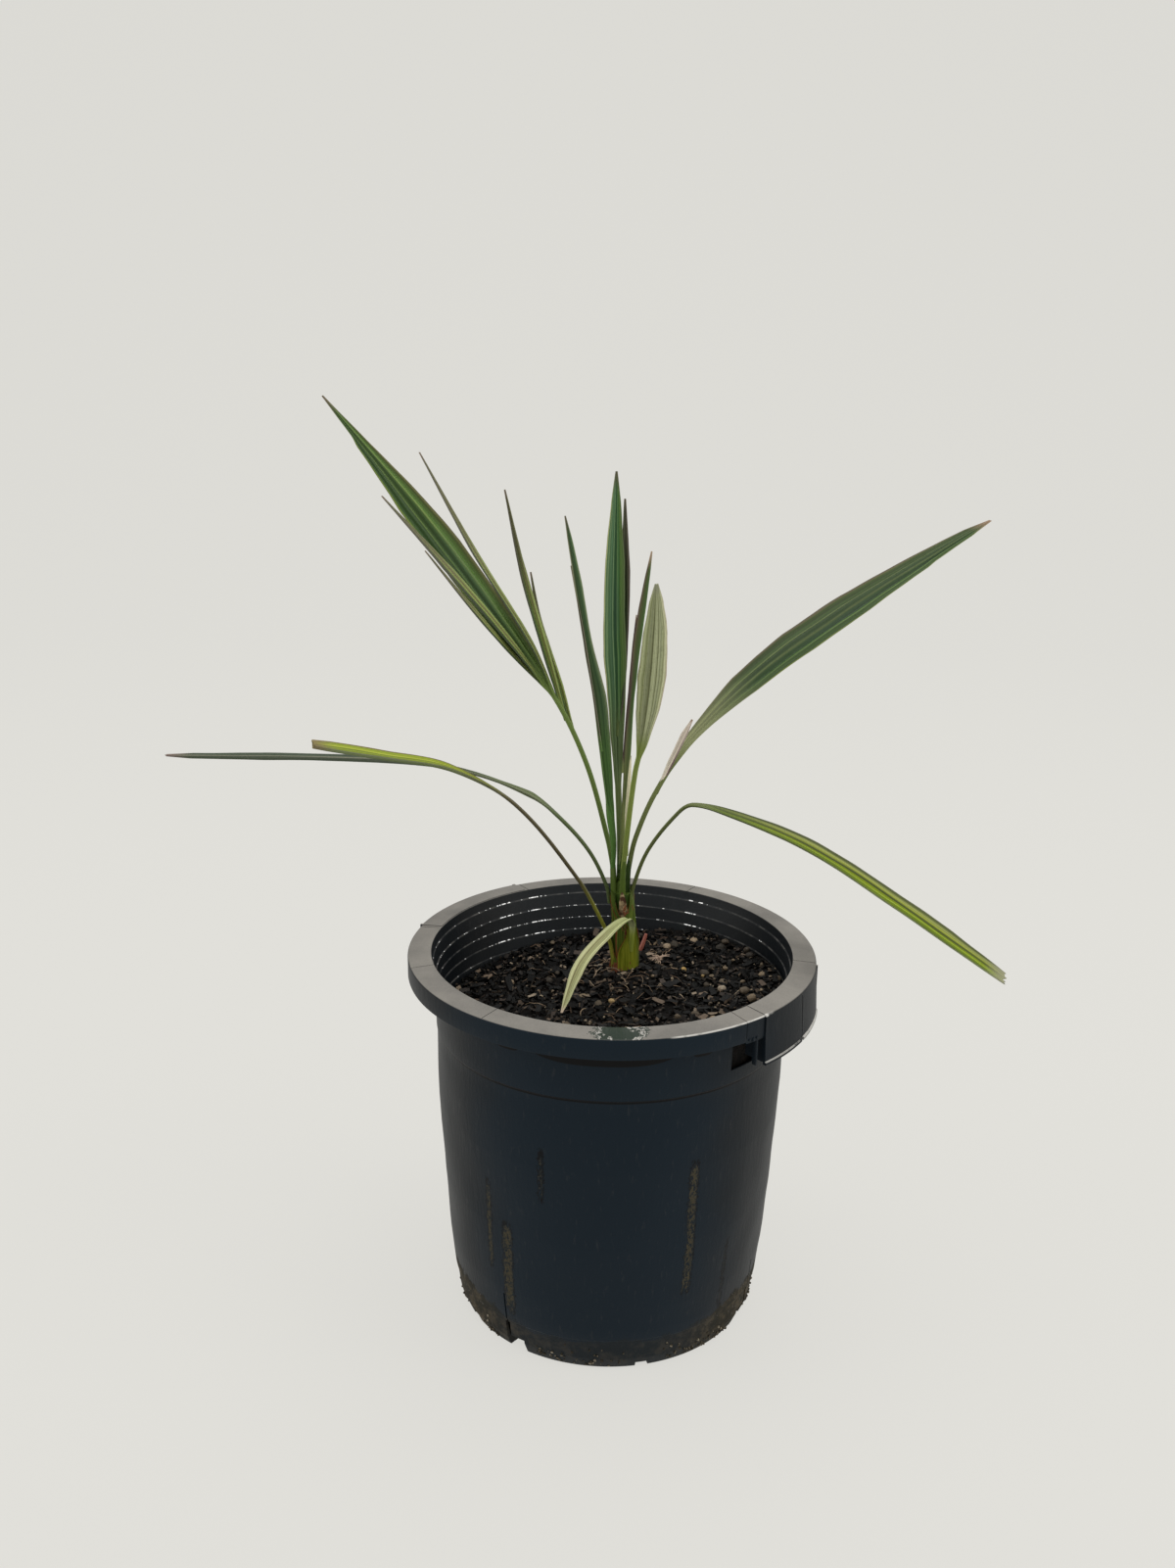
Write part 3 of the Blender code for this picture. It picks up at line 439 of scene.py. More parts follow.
LEAF_LOOKS = {
    "frond_back_left": LeafLook(
        "green_leaf", back=GREEN_BACK, leaflets=SIDE_LEAFLETS, painted_sheen=(70, 92, 66), painted_sheen_strength=0.4,
        painted_sheen_place=(0.55, 0.16, 0.42, 0.2),
        bands=((0, (84, 80, 58)), (0.025, (112, 110, 72)), (0.06, (80, 88, 42)), (0.13, (66, 88, 36)),
               (0.27, (76, 106, 44)), (0.33, (104, 124, 64)), (0.37, (50, 76, 30)), (0.5, (64, 88, 42)),
               (0.57, (94, 114, 62)), (0.61, (44, 70, 24)), (0.8, (38, 64, 20)), (0.88, (54, 80, 30)),
               (0.94, (106, 124, 50)), (1, (92, 98, 58)))),
    "frond_centre": LeafLook(
        "green_leaf", back=GREEN_BACK, painted_sheen=(62, 88, 72), painted_sheen_strength=0.4,
        painted_sheen_place=(0.66, 0.1, 0.42, 0.16), stalk=(94, 108, 62), base=(98, 112, 74), tip=(92, 84, 66),
        leaflets=((0, (98, 78, 80)), (0.15, (66, 70, 52)), (0.5, (44, 78, 34)), (0.9, (60, 90, 44)),
                  (1, (110, 122, 84))),
        bands=((0, (96, 110, 74)), (0.08, (86, 110, 58)), (0.22, (78, 106, 52)), (0.27, (46, 82, 38)),
               (0.32, (54, 94, 50)), (0.35, (106, 138, 84)), (0.39, (52, 86, 52)), (0.5, (66, 104, 70)),
               (0.55, (122, 148, 106)), (0.59, (64, 102, 68)), (0.78, (88, 120, 84)),
               (0.82, (124, 146, 104)), (0.86, (80, 112, 76)), (0.93, (92, 118, 76)),
               (0.96, (182, 186, 130)), (1, (130, 130, 96)))),
    "frond_front_pale": LeafLook(
        "pale_leaf", bands=GREEN_BACK, dots=0.8, base=(112, 124, 72), tip=(146, 148, 124),
        leaflets=((0, (210, 204, 172)), (0.5, (238, 232, 204)), (1, (200, 196, 160))),
        leaflet_tip=(214, 208, 176),
        stalk=(126, 142, 66),
        back=((0, (128, 132, 92)), (0.08, (164, 170, 130)), (0.16, (108, 114, 72)), (0.22, (170, 176, 138)),
              (0.34, (164, 170, 130)), (0.39, (102, 106, 66)), (0.44, (166, 172, 134)),
              (0.56, (162, 168, 130)), (0.61, (104, 108, 68)), (0.66, (170, 176, 140)),
              (0.78, (174, 180, 142)),
              (0.82, (122, 126, 84)), (0.87, (184, 188, 150)), (0.96, (180, 180, 142)),
              (1, (138, 116, 98)))),
    "frond_right_upper": LeafLook(
        "green_leaf", back=GREEN_BACK, painted_sheen=(66, 84, 68), painted_sheen_strength=0.4, base=(150, 152, 112),
        painted_sheen_place=(0.6, 0.14, 0.47, 0.13), stalk=(96, 106, 56), tip=(150, 124, 104), base_reach=0.3,
        leaflets=((0, (228, 220, 204)), (0.65, (226, 214, 196)), (0.78, (120, 98, 100)), (1, (112, 92, 96))),
        leaflet_tip=(204, 190, 178),
        bands=((0, (96, 98, 62)), (0.04, (140, 150, 78)), (0.12, (108, 124, 58)), (0.17, (46, 66, 30)),
               (0.27, (56, 80, 34)), (0.31, (88, 112, 54)), (0.35, (46, 74, 34)), (0.48, (56, 78, 46)),
               (0.56, (42, 66, 34)), (0.59, (98, 114, 66)), (0.63, (46, 68, 32)), (0.76, (46, 66, 30)),
               (0.79, (94, 106, 62)), (0.83, (54, 74, 36)), (0.95, (60, 76, 38)), (0.98, (112, 106, 78)),
               (1, (88, 76, 68)))),
    "frond_right_lower": LeafLook(
        "yellow_green_leaf", back=GREEN_BACK, base=(74, 88, 44), stalk=(92, 100, 56), tip=(144, 144, 116),
        bands=((0, (56, 66, 34)), (0.1, (136, 160, 54)), (0.2, (46, 60, 12)), (0.31, (134, 156, 26)),
               (0.41, (44, 58, 10)), (0.51, (142, 160, 30)), (0.6, (44, 56, 10)), (0.7, (152, 162, 56)),
               (0.79, (46, 58, 18)), (0.89, (150, 158, 82)), (0.95, (60, 70, 34)), (1, (116, 120, 82)))),
    "frond_left_long": LeafLook(
        "dark_leaf", base=(112, 122, 82), stalk=(78, 92, 52), tip=(120, 100, 94), base_reach=0.36,
        bands=((0, (64, 74, 58)), (0.3, (56, 68, 52)), (0.42, (88, 96, 76)), (0.5, (58, 70, 52)),
               (0.85, (72, 82, 62)), (0.92, (140, 138, 118)), (1, (104, 104, 84))),
        back=((0, (88, 96, 78)), (0.5, (64, 76, 56)), (0.9, (82, 92, 72)), (1, (124, 126, 110)))),
    "frond_left_yellow": LeafLook(
        "yellow_green_leaf", back=GREEN_BACK, base=(82, 76, 50), stalk=(80, 72, 50), tip=(120, 104, 70),
        base_reach=0.6, heel=(138, 140, 46),
        bands=((0, (98, 82, 40)), (0.1, (104, 108, 20)), (0.22, (118, 134, 14)), (0.3, (150, 160, 48)),
               (0.36, (112, 128, 14)), (0.6, (120, 138, 16)), (0.67, (158, 166, 60)), (0.74, (114, 130, 14)),
               (0.92, (124, 138, 26)), (1, (142, 142, 56)))),
    "frond_front_small": LeafLook(
        "pale_leaf", dots=0.3, base=(170, 178, 124), stalk=(140, 154, 52), tip=(202, 180, 162),
        back=((0, (168, 174, 130)), (1, (168, 174, 130))),
        bands=((0, (168, 170, 128)), (0.1, (186, 188, 144)), (0.3, (178, 180, 134)), (0.37, (104, 96, 60)),
               (0.43, (172, 172, 124)), (0.48, (168, 170, 120)), (0.53, (112, 106, 68)),
               (0.6, (176, 178, 132)), (0.7, (172, 176, 128)), (0.75, (118, 118, 72)),
               (0.81, (180, 184, 136)), (1, (182, 182, 138)))),
    "frond_left_thin": LeafLook(
        "green_leaf", back=GREEN_BACK, base=(82, 120, 56), stalk=(84, 122, 56), tip=(112, 104, 88),
        leaflets=((0, (96, 84, 80)), (0.3, (156, 154, 128)), (0.8, (172, 172, 146)), (1, (112, 98, 92))),
        bands=((0, (150, 158, 124)), (0.1, (92, 112, 76)), (0.3, (58, 86, 52)), (0.45, (96, 116, 80)),
               (0.55, (50, 76, 46)), (0.8, (62, 78, 54)), (0.9, (112, 118, 88)), (1, (138, 128, 110)))),
    "frond_right_thin": LeafLook(
        "dark_leaf", base=(98, 110, 64), stalk=(118, 128, 78), tip=(178, 154, 132),
        leaflets=((0, (86, 66, 66)), (0.6, (72, 60, 56)), (1, (120, 104, 92))),
        bands=((0, (70, 82, 50)), (0.5, (92, 112, 62)), (1, (126, 118, 92))),
        back=((0, (84, 66, 60)), (0.25, (84, 92, 56)), (0.5, (72, 104, 54)), (0.8, (132, 146, 92)),
              (1, (162, 144, 124)))),
}


@dataclass
class Sheath:
    """One leaf base round the stem: its back's azimuth, heights, wraps, lift and shares of colour."""

    azimuth: float
    foot: float
    top: float
    wrap_foot: float
    wrap_top: float
    lift: float
    yellow: float
    brown: float


CORE_TOP = 261.0
SHEATH_WAIST = 0.6
"""Share of its height up to which a sheath keeps its full wrap."""
SHEATHS = (
    Sheath(azimuth=-88, foot=198, top=263, wrap_foot=48, wrap_top=18, lift=-0.2, yellow=0.5, brown=1.0),
    Sheath(azimuth=80, foot=196, top=270, wrap_foot=150, wrap_top=50, lift=0.0, yellow=0.3, brown=0.1),
    Sheath(azimuth=178, foot=196, top=266, wrap_foot=100, wrap_top=16, lift=0.2, yellow=0.0, brown=0.0),
    Sheath(azimuth=-158, foot=196, top=262, wrap_foot=106, wrap_top=38, lift=0.5, yellow=0.2, brown=0.0),
    Sheath(azimuth=-18, foot=196, top=265, wrap_foot=112, wrap_top=38, lift=0.9, yellow=0.2, brown=0.0),
    Sheath(azimuth=-166, foot=196, top=232, wrap_foot=48, wrap_top=16, lift=1.3, yellow=0.85, brown=0.0),
    Sheath(azimuth=-54, foot=194, top=243, wrap_foot=66, wrap_top=26, lift=1.8, yellow=1.0, brown=0.0),
)


# Numbers and curves


def direction(azimuth):
    """Level unit vector that points away from the axis at an azimuth."""
    angle = math.radians(azimuth)
    return Vector((math.cos(angle), math.sin(angle), 0))


def between(table, place):
    """Value at a place in a table of (place, value) rows, read along straight lines."""
    for (start, low), (end, high) in zip(table, table[1:]):
        if place <= end:
            return low + (high - low) * max(0.0, place - start) / (end - start)
    return table[-1][1]


def ease(value):
    """Smooth step from 0 to 1."""
    value = min(1.0, max(0.0, value))
    return value * value * (3 - 2 * value)


def smooth_path(points, steps=16):
    """Points along a smooth curve through the given ones, which runs at each as its two neighbours lie."""
    knots = [Vector(point) for point in points]
    padded = [2 * knots[0] - knots[1]] + knots + [2 * knots[-1] - knots[-2]]
    slopes = [(after - before).normalized() for before, after in zip(padded, padded[2:])]
    path = []
    for start, end, leaving, arriving in zip(knots, knots[1:], slopes, slopes[1:]):
        reach = (end - start).length / 3
        handles = start + leaving * reach, end - arriving * reach
        path += interpolate_bezier(start, *handles, end, steps + 1)[:-1]
    return path + [knots[-1]]


def walk(path, share):
    """Point and unit tangent at a share of a path's length."""
    lengths = [(end - start).length for start, end in zip(path, path[1:])]
    left = share * sum(lengths)
    for start, end, length in zip(path, path[1:], lengths):
        if left <= length + 1e-6:
            return start.lerp(end, left / length), (end - start).normalized()
        left -= length
    return path[-1], (path[-1] - path[-2]).normalized()


def wall_radius(height):
    """Radius of the pot wall's outside at a height."""
    return between(WALL_OUTSIDE, height)


def mix_height(x, y):
    """Height of the potting mix: it slopes up to the right, heaps round the stem and rolls gently."""
    away = Vector((x, y)) - FOOT
    heap = MIX_HEAP * math.exp(-away.length_squared / MIX_HEAP_REACH ** 2)
    roll = MIX_ROLL * math.sin(x / 16 + 0.8) * math.cos(y / 21 - 0.4)
    return MIX_LEVEL + MIX_SLOPE * x / RING_INNER + heap + roll


def ripple(place, scale):
    """Smooth noise between about -1 and 1 at a place in millimetres, with bumps of about a scale."""
    return noise.noise(Vector(place) / scale)


def srgb(red, green, blue):
    """Linear colour of a screen colour whose parts run from 0 to 255."""
    return tuple(((part / 255 + 0.055) / 1.055) ** 2.4 for part in (red, green, blue))


# Shader nodes


def add_node(tree, kind, settings=None, values=None, output=0):
    """Add a shader node: its settings first, then its sockets' values or links. Returns one output."""
    node = tree.nodes.new("ShaderNode" + kind)
    for key, value in (settings or {}).items():
        if key == "stops":
            set_stops(node.color_ramp, value)
        else:
            setattr(node, key, value)
    for key, value in (values or {}).items():
        if isinstance(value, Wire):
            tree.links.new(value.socket, node.inputs[key])
        else:
            node.inputs[key].default_value = value
    return Wire(node.outputs[output])


def set_stops(ramp, stops):
    """Give a colour ramp its (place, linear colour) stops."""
    while len(ramp.elements) < len(stops):
        ramp.elements.new(0.5)
    for element, (place, colour) in zip(ramp.elements, stops):
        element.position = place
        element.color = (*colour, 1)


class Wire:
    """A shader socket that takes part in Python expressions, which add the Math nodes they need."""

    def __init__(self, socket):
        self.socket = socket
        self.tree = socket.id_data

    def math(self, operation, *values):
        """A Math node with this socket first."""
        return add_node(self.tree, "Math", {"operation": operation}, dict(enumerate((self, *values))))

    def __add__(self, other):
        return self.math("ADD", other)

    __radd__ = __add__

    def __sub__(self, other):
        return self.math("SUBTRACT", other)

    def __rsub__(self, other):
        return add_node(self.tree, "Math", {"operation": "SUBTRACT"}, {0: other, 1: self})

    def __mul__(self, other):
        return self.math("MULTIPLY", other)

    __rmul__ = __mul__

    def __truediv__(self, other):
        return self.math("DIVIDE", other)

    def __rtruediv__(self, other):
        return add_node(self.tree, "Math", {"operation": "DIVIDE"}, {0: other, 1: self})

    def __abs__(self):
        return self.math("ABSOLUTE")

    def __gt__(self, other):
        return self.math("GREATER_THAN", other)

    def rise(self, low, high):
        """Smooth step from 0 at one value to 1 at another, which may be the lower one."""
        settings = {"interpolation_type": "SMOOTHSTEP"}
        return add_node(self.tree, "MapRange", settings, {0: self, 1: low, 2: high})


class Finish:
    """A material in the making: its tree, its shader and the nodes that its recipe adds."""

    def __init__(self, name, **constants):
        self.material = bpy.data.materials.new(name)
        self.material.use_nodes = True
        self.tree = self.material.node_tree
        self.shader = self.tree.nodes["Principled BSDF"]
        for socket, value in constants.items():
            self.shader.inputs[socket.replace("_", " ")].default_value = value
        self.place = self.node("TexCoord", output="Object")

    def node(self, kind, settings=None, values=None, output=0):
        """Any node of this material."""
        return add_node(self.tree, kind, settings, values, output)

    def drive(self, socket, wire):
        """Feed one of the shader's sockets."""
        self.tree.links.new(wire.socket, self.shader.inputs[socket])

    def split(self, vector):
        """The three parts of a vector."""
        node = self.node("SeparateXYZ", values={0: vector}).socket.node
        return [Wire(output) for output in node.outputs]

    def join(self, x, y, z=0.0):
        """A vector of three parts."""
        return self.node("CombineXYZ", values={0: x, 1: y, 2: z})

    def cloud(self, scale, detail=2.0, place=None, roughness=0.55):
        """Noise between 0 and 1 at a scale in bumps a metre, or a unit of another vector."""
        values = {"Vector": place or self.place, "Scale": scale, "Detail": detail, "Roughness": roughness}
        return self.node("TexNoise", values=values)

    def blend(self, factor, under, over):
        """A mix of two colours, each a wire or a linear colour."""
        values = {0: factor}
        for socket, colour in ((6, under), (7, over)):
            values[socket] = colour if isinstance(colour, Wire) else (*colour, 1)
        return self.node("Mix", {"data_type": "RGBA"}, values, output=2)

    def tint(self, colour, factor):
        """A colour made lighter or darker by a value round 1."""
        return self.node("VectorMath", {"operation": "SCALE"}, {0: colour, "Scale": factor})

    def ramp(self, factor, stops):
        """A colour read from stops by a value."""
        return self.node("ValToRGB", {"stops": stops}, {0: factor})

    def bands(self, place, stops):
        """A colour read from stops of screen colours by a place from 0 to 1."""
        return self.ramp(place, [(stop, srgb(*colour)) for stop, colour in stops])

    def relief(self, height, distance, strength=1.0):
        """Bump the surface by a height between 0 and 1, as deep as a distance in metres."""
        bump = self.node("Bump", values={"Height": height, "Distance": distance, "Strength": strength})
        self.drive("Normal", bump)


def pot_plastic(settings):
    """Black plastic: dust on top, scuffs down its wall, dirty water streaks, mud at its foot, and painted
    light and shade.
    """
    skin = Finish("pot_plastic", Specular_IOR_Level=0.13)
    x, y, z = skin.split(skin.node("VectorMath", {"operation": "SCALE"}, {0: skin.place, "Scale": 1 / MM}))
    around = y.math("ARCTAN2", x) * (180 / math.pi)
    radius = (x * x + y * y).math("SQRT")
    facing_x, facing_y, upward = skin.split(skin.node("NewGeometry", output="Normal"))
    outward = (facing_x * x + facing_y * y) / radius
    scuffs = skin.cloud(1.0, detail=5.0, place=skin.join(around * 0.7, z * 0.09))
    patches = skin.cloud(24.0, detail=4.0)
    grains = skin.cloud(900.0, detail=2.0)
    ragged = skin.cloud(110.0, detail=4.0, roughness=0.7)
    stain = skin.cloud(1.0, detail=4.0, place=skin.join(around * 1.1, z * 0.16), roughness=0.7)
    broken = skin.cloud(420.0, detail=4.0, roughness=0.75)

    inward = outward.rise(-0.02, -0.2)
    outside = outward.rise(0.1, 0.4)
    # Painted sheen: the plastic turns a paler grey towards the wall's flanks as the camera sees them.
    flank_sheen = ((around - FRONT) * (math.pi / 90)).math("COSINE") + 0.8 * (patches - 0.5)
    base = skin.blend(flank_sheen.rise(0.75, -0.5), settings.plastic, settings.plastic_sheen)
    base = skin.blend(scuffs.rise(0.58, 0.74) * 0.2, base, settings.dust_low)
    mouth = inward * y.rise(30.0, 95.0)
    base = skin.blend(mouth * 0.5, base, settings.dust_low)
    # Painted highlights along the ledges, in the colour of thin dust.
    base = skin.blend(ledge_highlights(z, inward) * ragged.rise(0.42, 0.62) * 0.4, base, settings.thin_dust_and_ledge_light)
    # Painted shadow under the collar's foot.
    base = skin.blend(collar_shadows(around, z, outside, radius), base, BLACK)
    # Painted shade: a dark line under the small step in the wall.
    base = skin.blend(abs(z - STEP_SHADE_HEIGHT).rise(1.2, 0.7) * outside * 0.95, base, BLACK)

    side = ((around - FRONT) * (math.pi / 180)).math("COSINE").rise(0.97, 0.55)
    mud = (z + 22 * (ragged - 0.5) - 9 * side).rise(MUD_TOP + 1.0, MUD_TOP - 3.0)
    mud = mud * (radius - 80).rise(0.0, 4.0) * (0.35 + 0.65 * side)
    water = water_streaks(around, z, stain, broken)
    base = skin.blend(abs(water - 0.24).rise(0.16, 0.08) * 0.9, base, BLACK)
    base = skin.blend(water.rise(0.3, 0.55) * broken.rise(0.38, 0.54), base, settings.stain)
    base = skin.blend(mud, base, skin.blend(ragged.rise(0.42, 0.66), settings.mud, settings.mud_light))
    base = skin.blend(mud * side * broken.rise(0.62, 0.68) * 0.7, base, settings.dust)

    top = z.rise(RING_TOP - 1.8, RING_TOP - 1.0) * upward.rise(0.5, 0.9)
    top_dust_and_glints = skin.blend(patches.rise(0.3, 0.75), settings.dust, settings.thin_dust_and_ledge_light)
    top_dust_and_glints = skin.tint(top_dust_and_glints, 0.86 + 0.28 * grains)
    shore = 16 * (ragged - 0.5) + 7 * (broken - 0.5) + 0.2 * abs(radius - RING_MIDDLE)
    puddle = abs(around - WET_MIDDLE) + shore
    wet = puddle.rise(5.6, 5.2) * top
    # Painted glints round the rims of the wet patch.
    shine = abs(puddle - 6.0).rise(0.7, 0.3) * top
    top_dust_and_glints = skin.blend(abs(puddle - 7.2).rise(0.8, 0.4) * top, top_dust_and_glints, settings.wet)
    top_dust_and_glints = skin.blend(wet, top_dust_and_glints, settings.wet)
    # The painted glints take the highlight colour.
    top_dust_and_glints = skin.blend(shine * 0.6, top_dust_and_glints, settings.rubbed)
    base = skin.blend(top, base, top_dust_and_glints)
    # Painted highlights on the ring's outer edge and on the front grip's lip.
    base = skin.blend(edge_highlights(around, radius, z) * ragged.rise(0.3, 0.5), base, settings.rubbed)
    skin.drive("Base Color", base)
    rough = 0.47 + 0.1 * (patches - 0.5) + 0.35 * mud + 0.25 * water + 0.15 * top - 0.45 * wet
    skin.drive("Roughness", rough)
    skin.relief(0.25 * grains + 0.6 * scuffs + 1.4 * mud * ragged, 0.0006, 0.5)
    return skin.material


def ledge_highlights(z, inward):
    """Painted highlight: a thin light line along each ledge inside the mouth."""
    from_ledge = ((LEDGE_TOP - z) / LEDGE_PITCH).math("PINGPONG", 0.5) * LEDGE_PITCH
    level = z.rise(LEDGE_TOP - LEDGE_PITCH * LEDGE_COUNT, LEDGE_TOP - LEDGE_PITCH * (LEDGE_COUNT - 1))
    return from_ledge.rise(0.55, 0.2) * level * inward * z.rise(LEDGE_TOP + 3.0, LEDGE_TOP + 1.0)


def collar_shadows(around, z, outside, radius):
    """Painted shadow: dark bands on the wall just under the collar's foot."""
    dark = 0.0
    for azimuth, half, thick in COLLAR_SHADOWS:
        off = abs(around - azimuth) / half
        deep = (1 - off.math("POWER", 4.0)) * thick
        dark = (z - COLLAR_SHADOW_TOP + deep).rise(-0.2, 0.3) * off.rise(1.02, 0.98) + dark
    level = z.rise(COLLAR_SHADOW_TOP + 2.5, COLLAR_SHADOW_TOP + 1.5)
    return dark * level * outside * radius.rise(RING_OUTER - 3, RING_OUTER - 5)


def water_streaks(around, z, stain, broken):
    """Dried dirty water that ran down the wall."""
    water = 0.0
    for azimuth, width, low, high, strength in STREAKS:
        off = abs(around - azimuth + 4 * (stain - 0.5)) * math.radians(WALL_MIDDLE) + 7 * (broken - 0.5)
        level = z + 30 * (stain - 0.5)
        height = level.rise(low - 6, low + 4) * level.rise(high + 6, high - 8)
        water = off.rise(width * 0.9, width * 0.15) * height * strength + water
    return water * stain.rise(0.36, 0.52) * 1.3


def edge_highlights(around, radius, z):
    """Painted highlights: a pale line round the ring's outer edge and along the front grip's lip."""
    edge = (radius - RING_OUTER).rise(-1.0, -0.5) * z.rise(RING_TOP - 1.8, RING_TOP - 1.3)
    edge = edge * abs(around - EDGE_HIGHLIGHT_MIDDLE).rise(EDGE_HIGHLIGHT_HALF + 2, EDGE_HIGHLIGHT_HALF - 2)
    lip_top = GRIP_FOOT + GRIP_LIP_HEIGHT
    lip = (radius - RING_OUTER).rise(1.2, 1.5) * abs(z - lip_top).rise(0.45, 0.25)
    lip_face_highlight = (radius - RING_OUTER).rise(0.6, 0.9) * z.rise(lip_top + 0.5, lip_top)
    past_slit = around.rise(GRIP_SLIT["azimuth"] - 0.5, GRIP_SLIT["azimuth"] + 1.5)
    return edge + lip * 0.7 + lip_face_highlight * past_slit * 0.6


def mix_material(name, stops, roughness=0.75, relief=0.0006, gloss=0.2):
    """Bits of potting mix: each bit has its own tone, with finer spots."""
    skin = Finish(name, Roughness=roughness, Specular_IOR_Level=gloss)
    bit = skin.node("NewGeometry", output="Random Per Island")
    spots = skin.cloud(700.0, detail=3.0)
    skin.drive("Base Color", skin.tint(skin.ramp(bit, stops), 0.5 + spots))
    skin.relief(spots, relief)
    return skin.material


def soil_material():
    """The fine dark crumb between the larger bits."""
    skin = Finish("potting_mix", Roughness=0.85, Specular_IOR_Level=0.15)
    coarse = skin.cloud(260.0, detail=6.0, roughness=0.7)
    skin.drive("Base Color", skin.ramp(coarse, SOIL_TONES))
    skin.relief(coarse, 0.0015)
    return skin.material


def leaf_material(name, look):
    """Leaf: bands of colour from margin to margin, fine veins, a painted bluish sheen, a dry tip and a paler
    back.
    """
    skin = Finish(name, Specular_IOR_Level=0.22)
    turn, share, _ = skin.split(skin.node("TexCoord", output="UV"))
    across = (turn * 2).math("PINGPONG", 1.0)
    below = turn > 0.5
    blade = skin.node("Attribute", {"attribute_name": "blade"}, output="Fac")
    leaflet = skin.node("Attribute", {"attribute_name": "leaflet"}, output="Fac")
    drift = skin.cloud(1.0, detail=2.0, place=skin.join(across * 1.5, share * 4, below * 3 + leaflet * 7))
    fine = skin.cloud(1.0, detail=2.0, place=skin.join(across * 90, share * 14, below * 5))
    lines = skin.cloud(1.0, detail=1.0, place=skin.join(across * 22, share * 0.9, below * 5 + leaflet * 3))
    speckle = skin.cloud(500.0, detail=2.0)
    place = across + 0.05 * (drift - 0.5)
    body = skin.bands(place, look.bands)
    middle_share, reach, middle, width = look.painted_sheen_place
    # Painted sheen: a bluish patch partway along the blade.
    painted_sheen = abs(share - middle_share).rise(reach, reach * 0.2) * abs(across - middle).rise(width, width * 0.4)
    body = skin.blend(painted_sheen * look.painted_sheen_strength, body, srgb(*look.painted_sheen))
    back = skin.bands(place, look.back)
    body = skin.blend(below, body, back)
    dots = fine.rise(0.56, 0.63) * speckle.rise(0.48, 0.6) * look.dots
    body = skin.blend(dots, body, skin.tint(body, 0.35))
    if look.leaflets:
        body = skin.blend(leaflet, body, skin.bands(place, look.leaflets))
    foot = share.rise(look.base_reach + 0.12, look.base_reach - 0.08)
    body = skin.blend(abs(leaflet - 1) * foot * 0.7, body, srgb(*look.base))
    body = skin.blend((1 - blade) * 0.9, body, skin.tint(srgb(*look.stalk), 0.75 + 0.5 * drift))
    if look.heel:
        body = skin.blend(share.rise(0.26, 0.1) * 0.8, body, srgb(*look.heel))
    purple = leaflet * (share + 0.1 * (fine - 0.5)).rise(0.35, 0.85) * 0.7
    body = skin.blend(purple, body, srgb(*look.leaflet_tip))
    dry = (share + 0.03 * (drift - 0.5)).rise(0.94, 1.0)
    body = skin.blend(dry * 0.9, body, srgb(*look.tip))
    skin.drive("Base Color", skin.tint(body, 0.56 + 0.5 * lines.rise(0.36, 0.62) + 0.36 * fine))
    skin.drive("Roughness", 0.42 + 0.25 * (speckle - 0.5) + 0.12 * below)
    skin.relief(fine, 0.00025, 0.6)
    return skin.material


def sheath_material():
    """Leaf bases: green or yellow-green, with red-brown papery margins and a fibrous foot."""
    skin = Finish("leaf_sheath", Specular_IOR_Level=0.25)
    across, share, _ = skin.split(skin.node("TexCoord", output="UV"))
    bit = skin.node("NewGeometry", output="Random Per Island")
    yellow = skin.node("Attribute", {"attribute_name": "yellow"}, output="Fac")
    brown = skin.node("Attribute", {"attribute_name": "brown"}, output="Fac")
    grain = skin.cloud(1.0, detail=3.0, place=skin.join(across * 26, share * 2, bit * 9))
    spots = skin.cloud(160.0, detail=4.0)
    streak = grain.rise(0.35, 0.65)
    green = skin.blend(streak, srgb(48, 70, 24), srgb(88, 108, 44))
    golden = skin.blend(streak, srgb(98, 106, 16), srgb(142, 146, 44))
    golden = skin.blend(across.rise(0.5, 0.85) * 0.7, golden, srgb(60, 78, 20))
    papery = skin.blend(spots.rise(0.42, 0.58), srgb(78, 52, 36), srgb(186, 166, 128))
    body = skin.blend(yellow * (1.1 - 0.3 * share), green, golden)
    edge = abs(across * 2 - 1) + 0.1 * (spots - 0.5)
    body = skin.blend(edge.rise(0.92, 0.975), body, srgb(122, 66, 36))
    body = skin.blend(brown, body, papery)
    foot = (share + 0.16 * (spots - 0.5)).rise(0.22, 0.12)
    body = skin.blend(foot * 0.8, body, srgb(92, 50, 28))
    skin.drive("Base Color", body)
    skin.drive("Roughness", 0.36 + 0.3 * edge.rise(0.8, 1.0))
    skin.relief(grain, 0.0004, 0.6)
    return skin.material


def glint_material():
    """Pale drops that glow a little on their own: painted glints of the studio lights."""
    skin = Finish("glint_drops", Roughness=0.1, Emission_Strength=0.45)
    shine = skin.ramp(skin.cloud(300.0), ((0.3, (0.6, 0.62, 0.64)), (0.5, (1, 1, 1))))
    skin.drive("Base Color", shine)
    skin.drive("Emission Color", shine)
    return skin.material


def plain_finish(name, colour, roughness, variation=0.3, scale=300.0):
    """A matter of one colour with soft spots of lighter and darker."""
    skin = Finish(name, Roughness=roughness)
    spots = skin.cloud(scale, detail=3.0)
    skin.drive("Base Color", skin.tint(colour, 1 - variation / 2 + variation * spots))
    skin.relief(spots, 0.0003)
    return skin.material


# Pieces


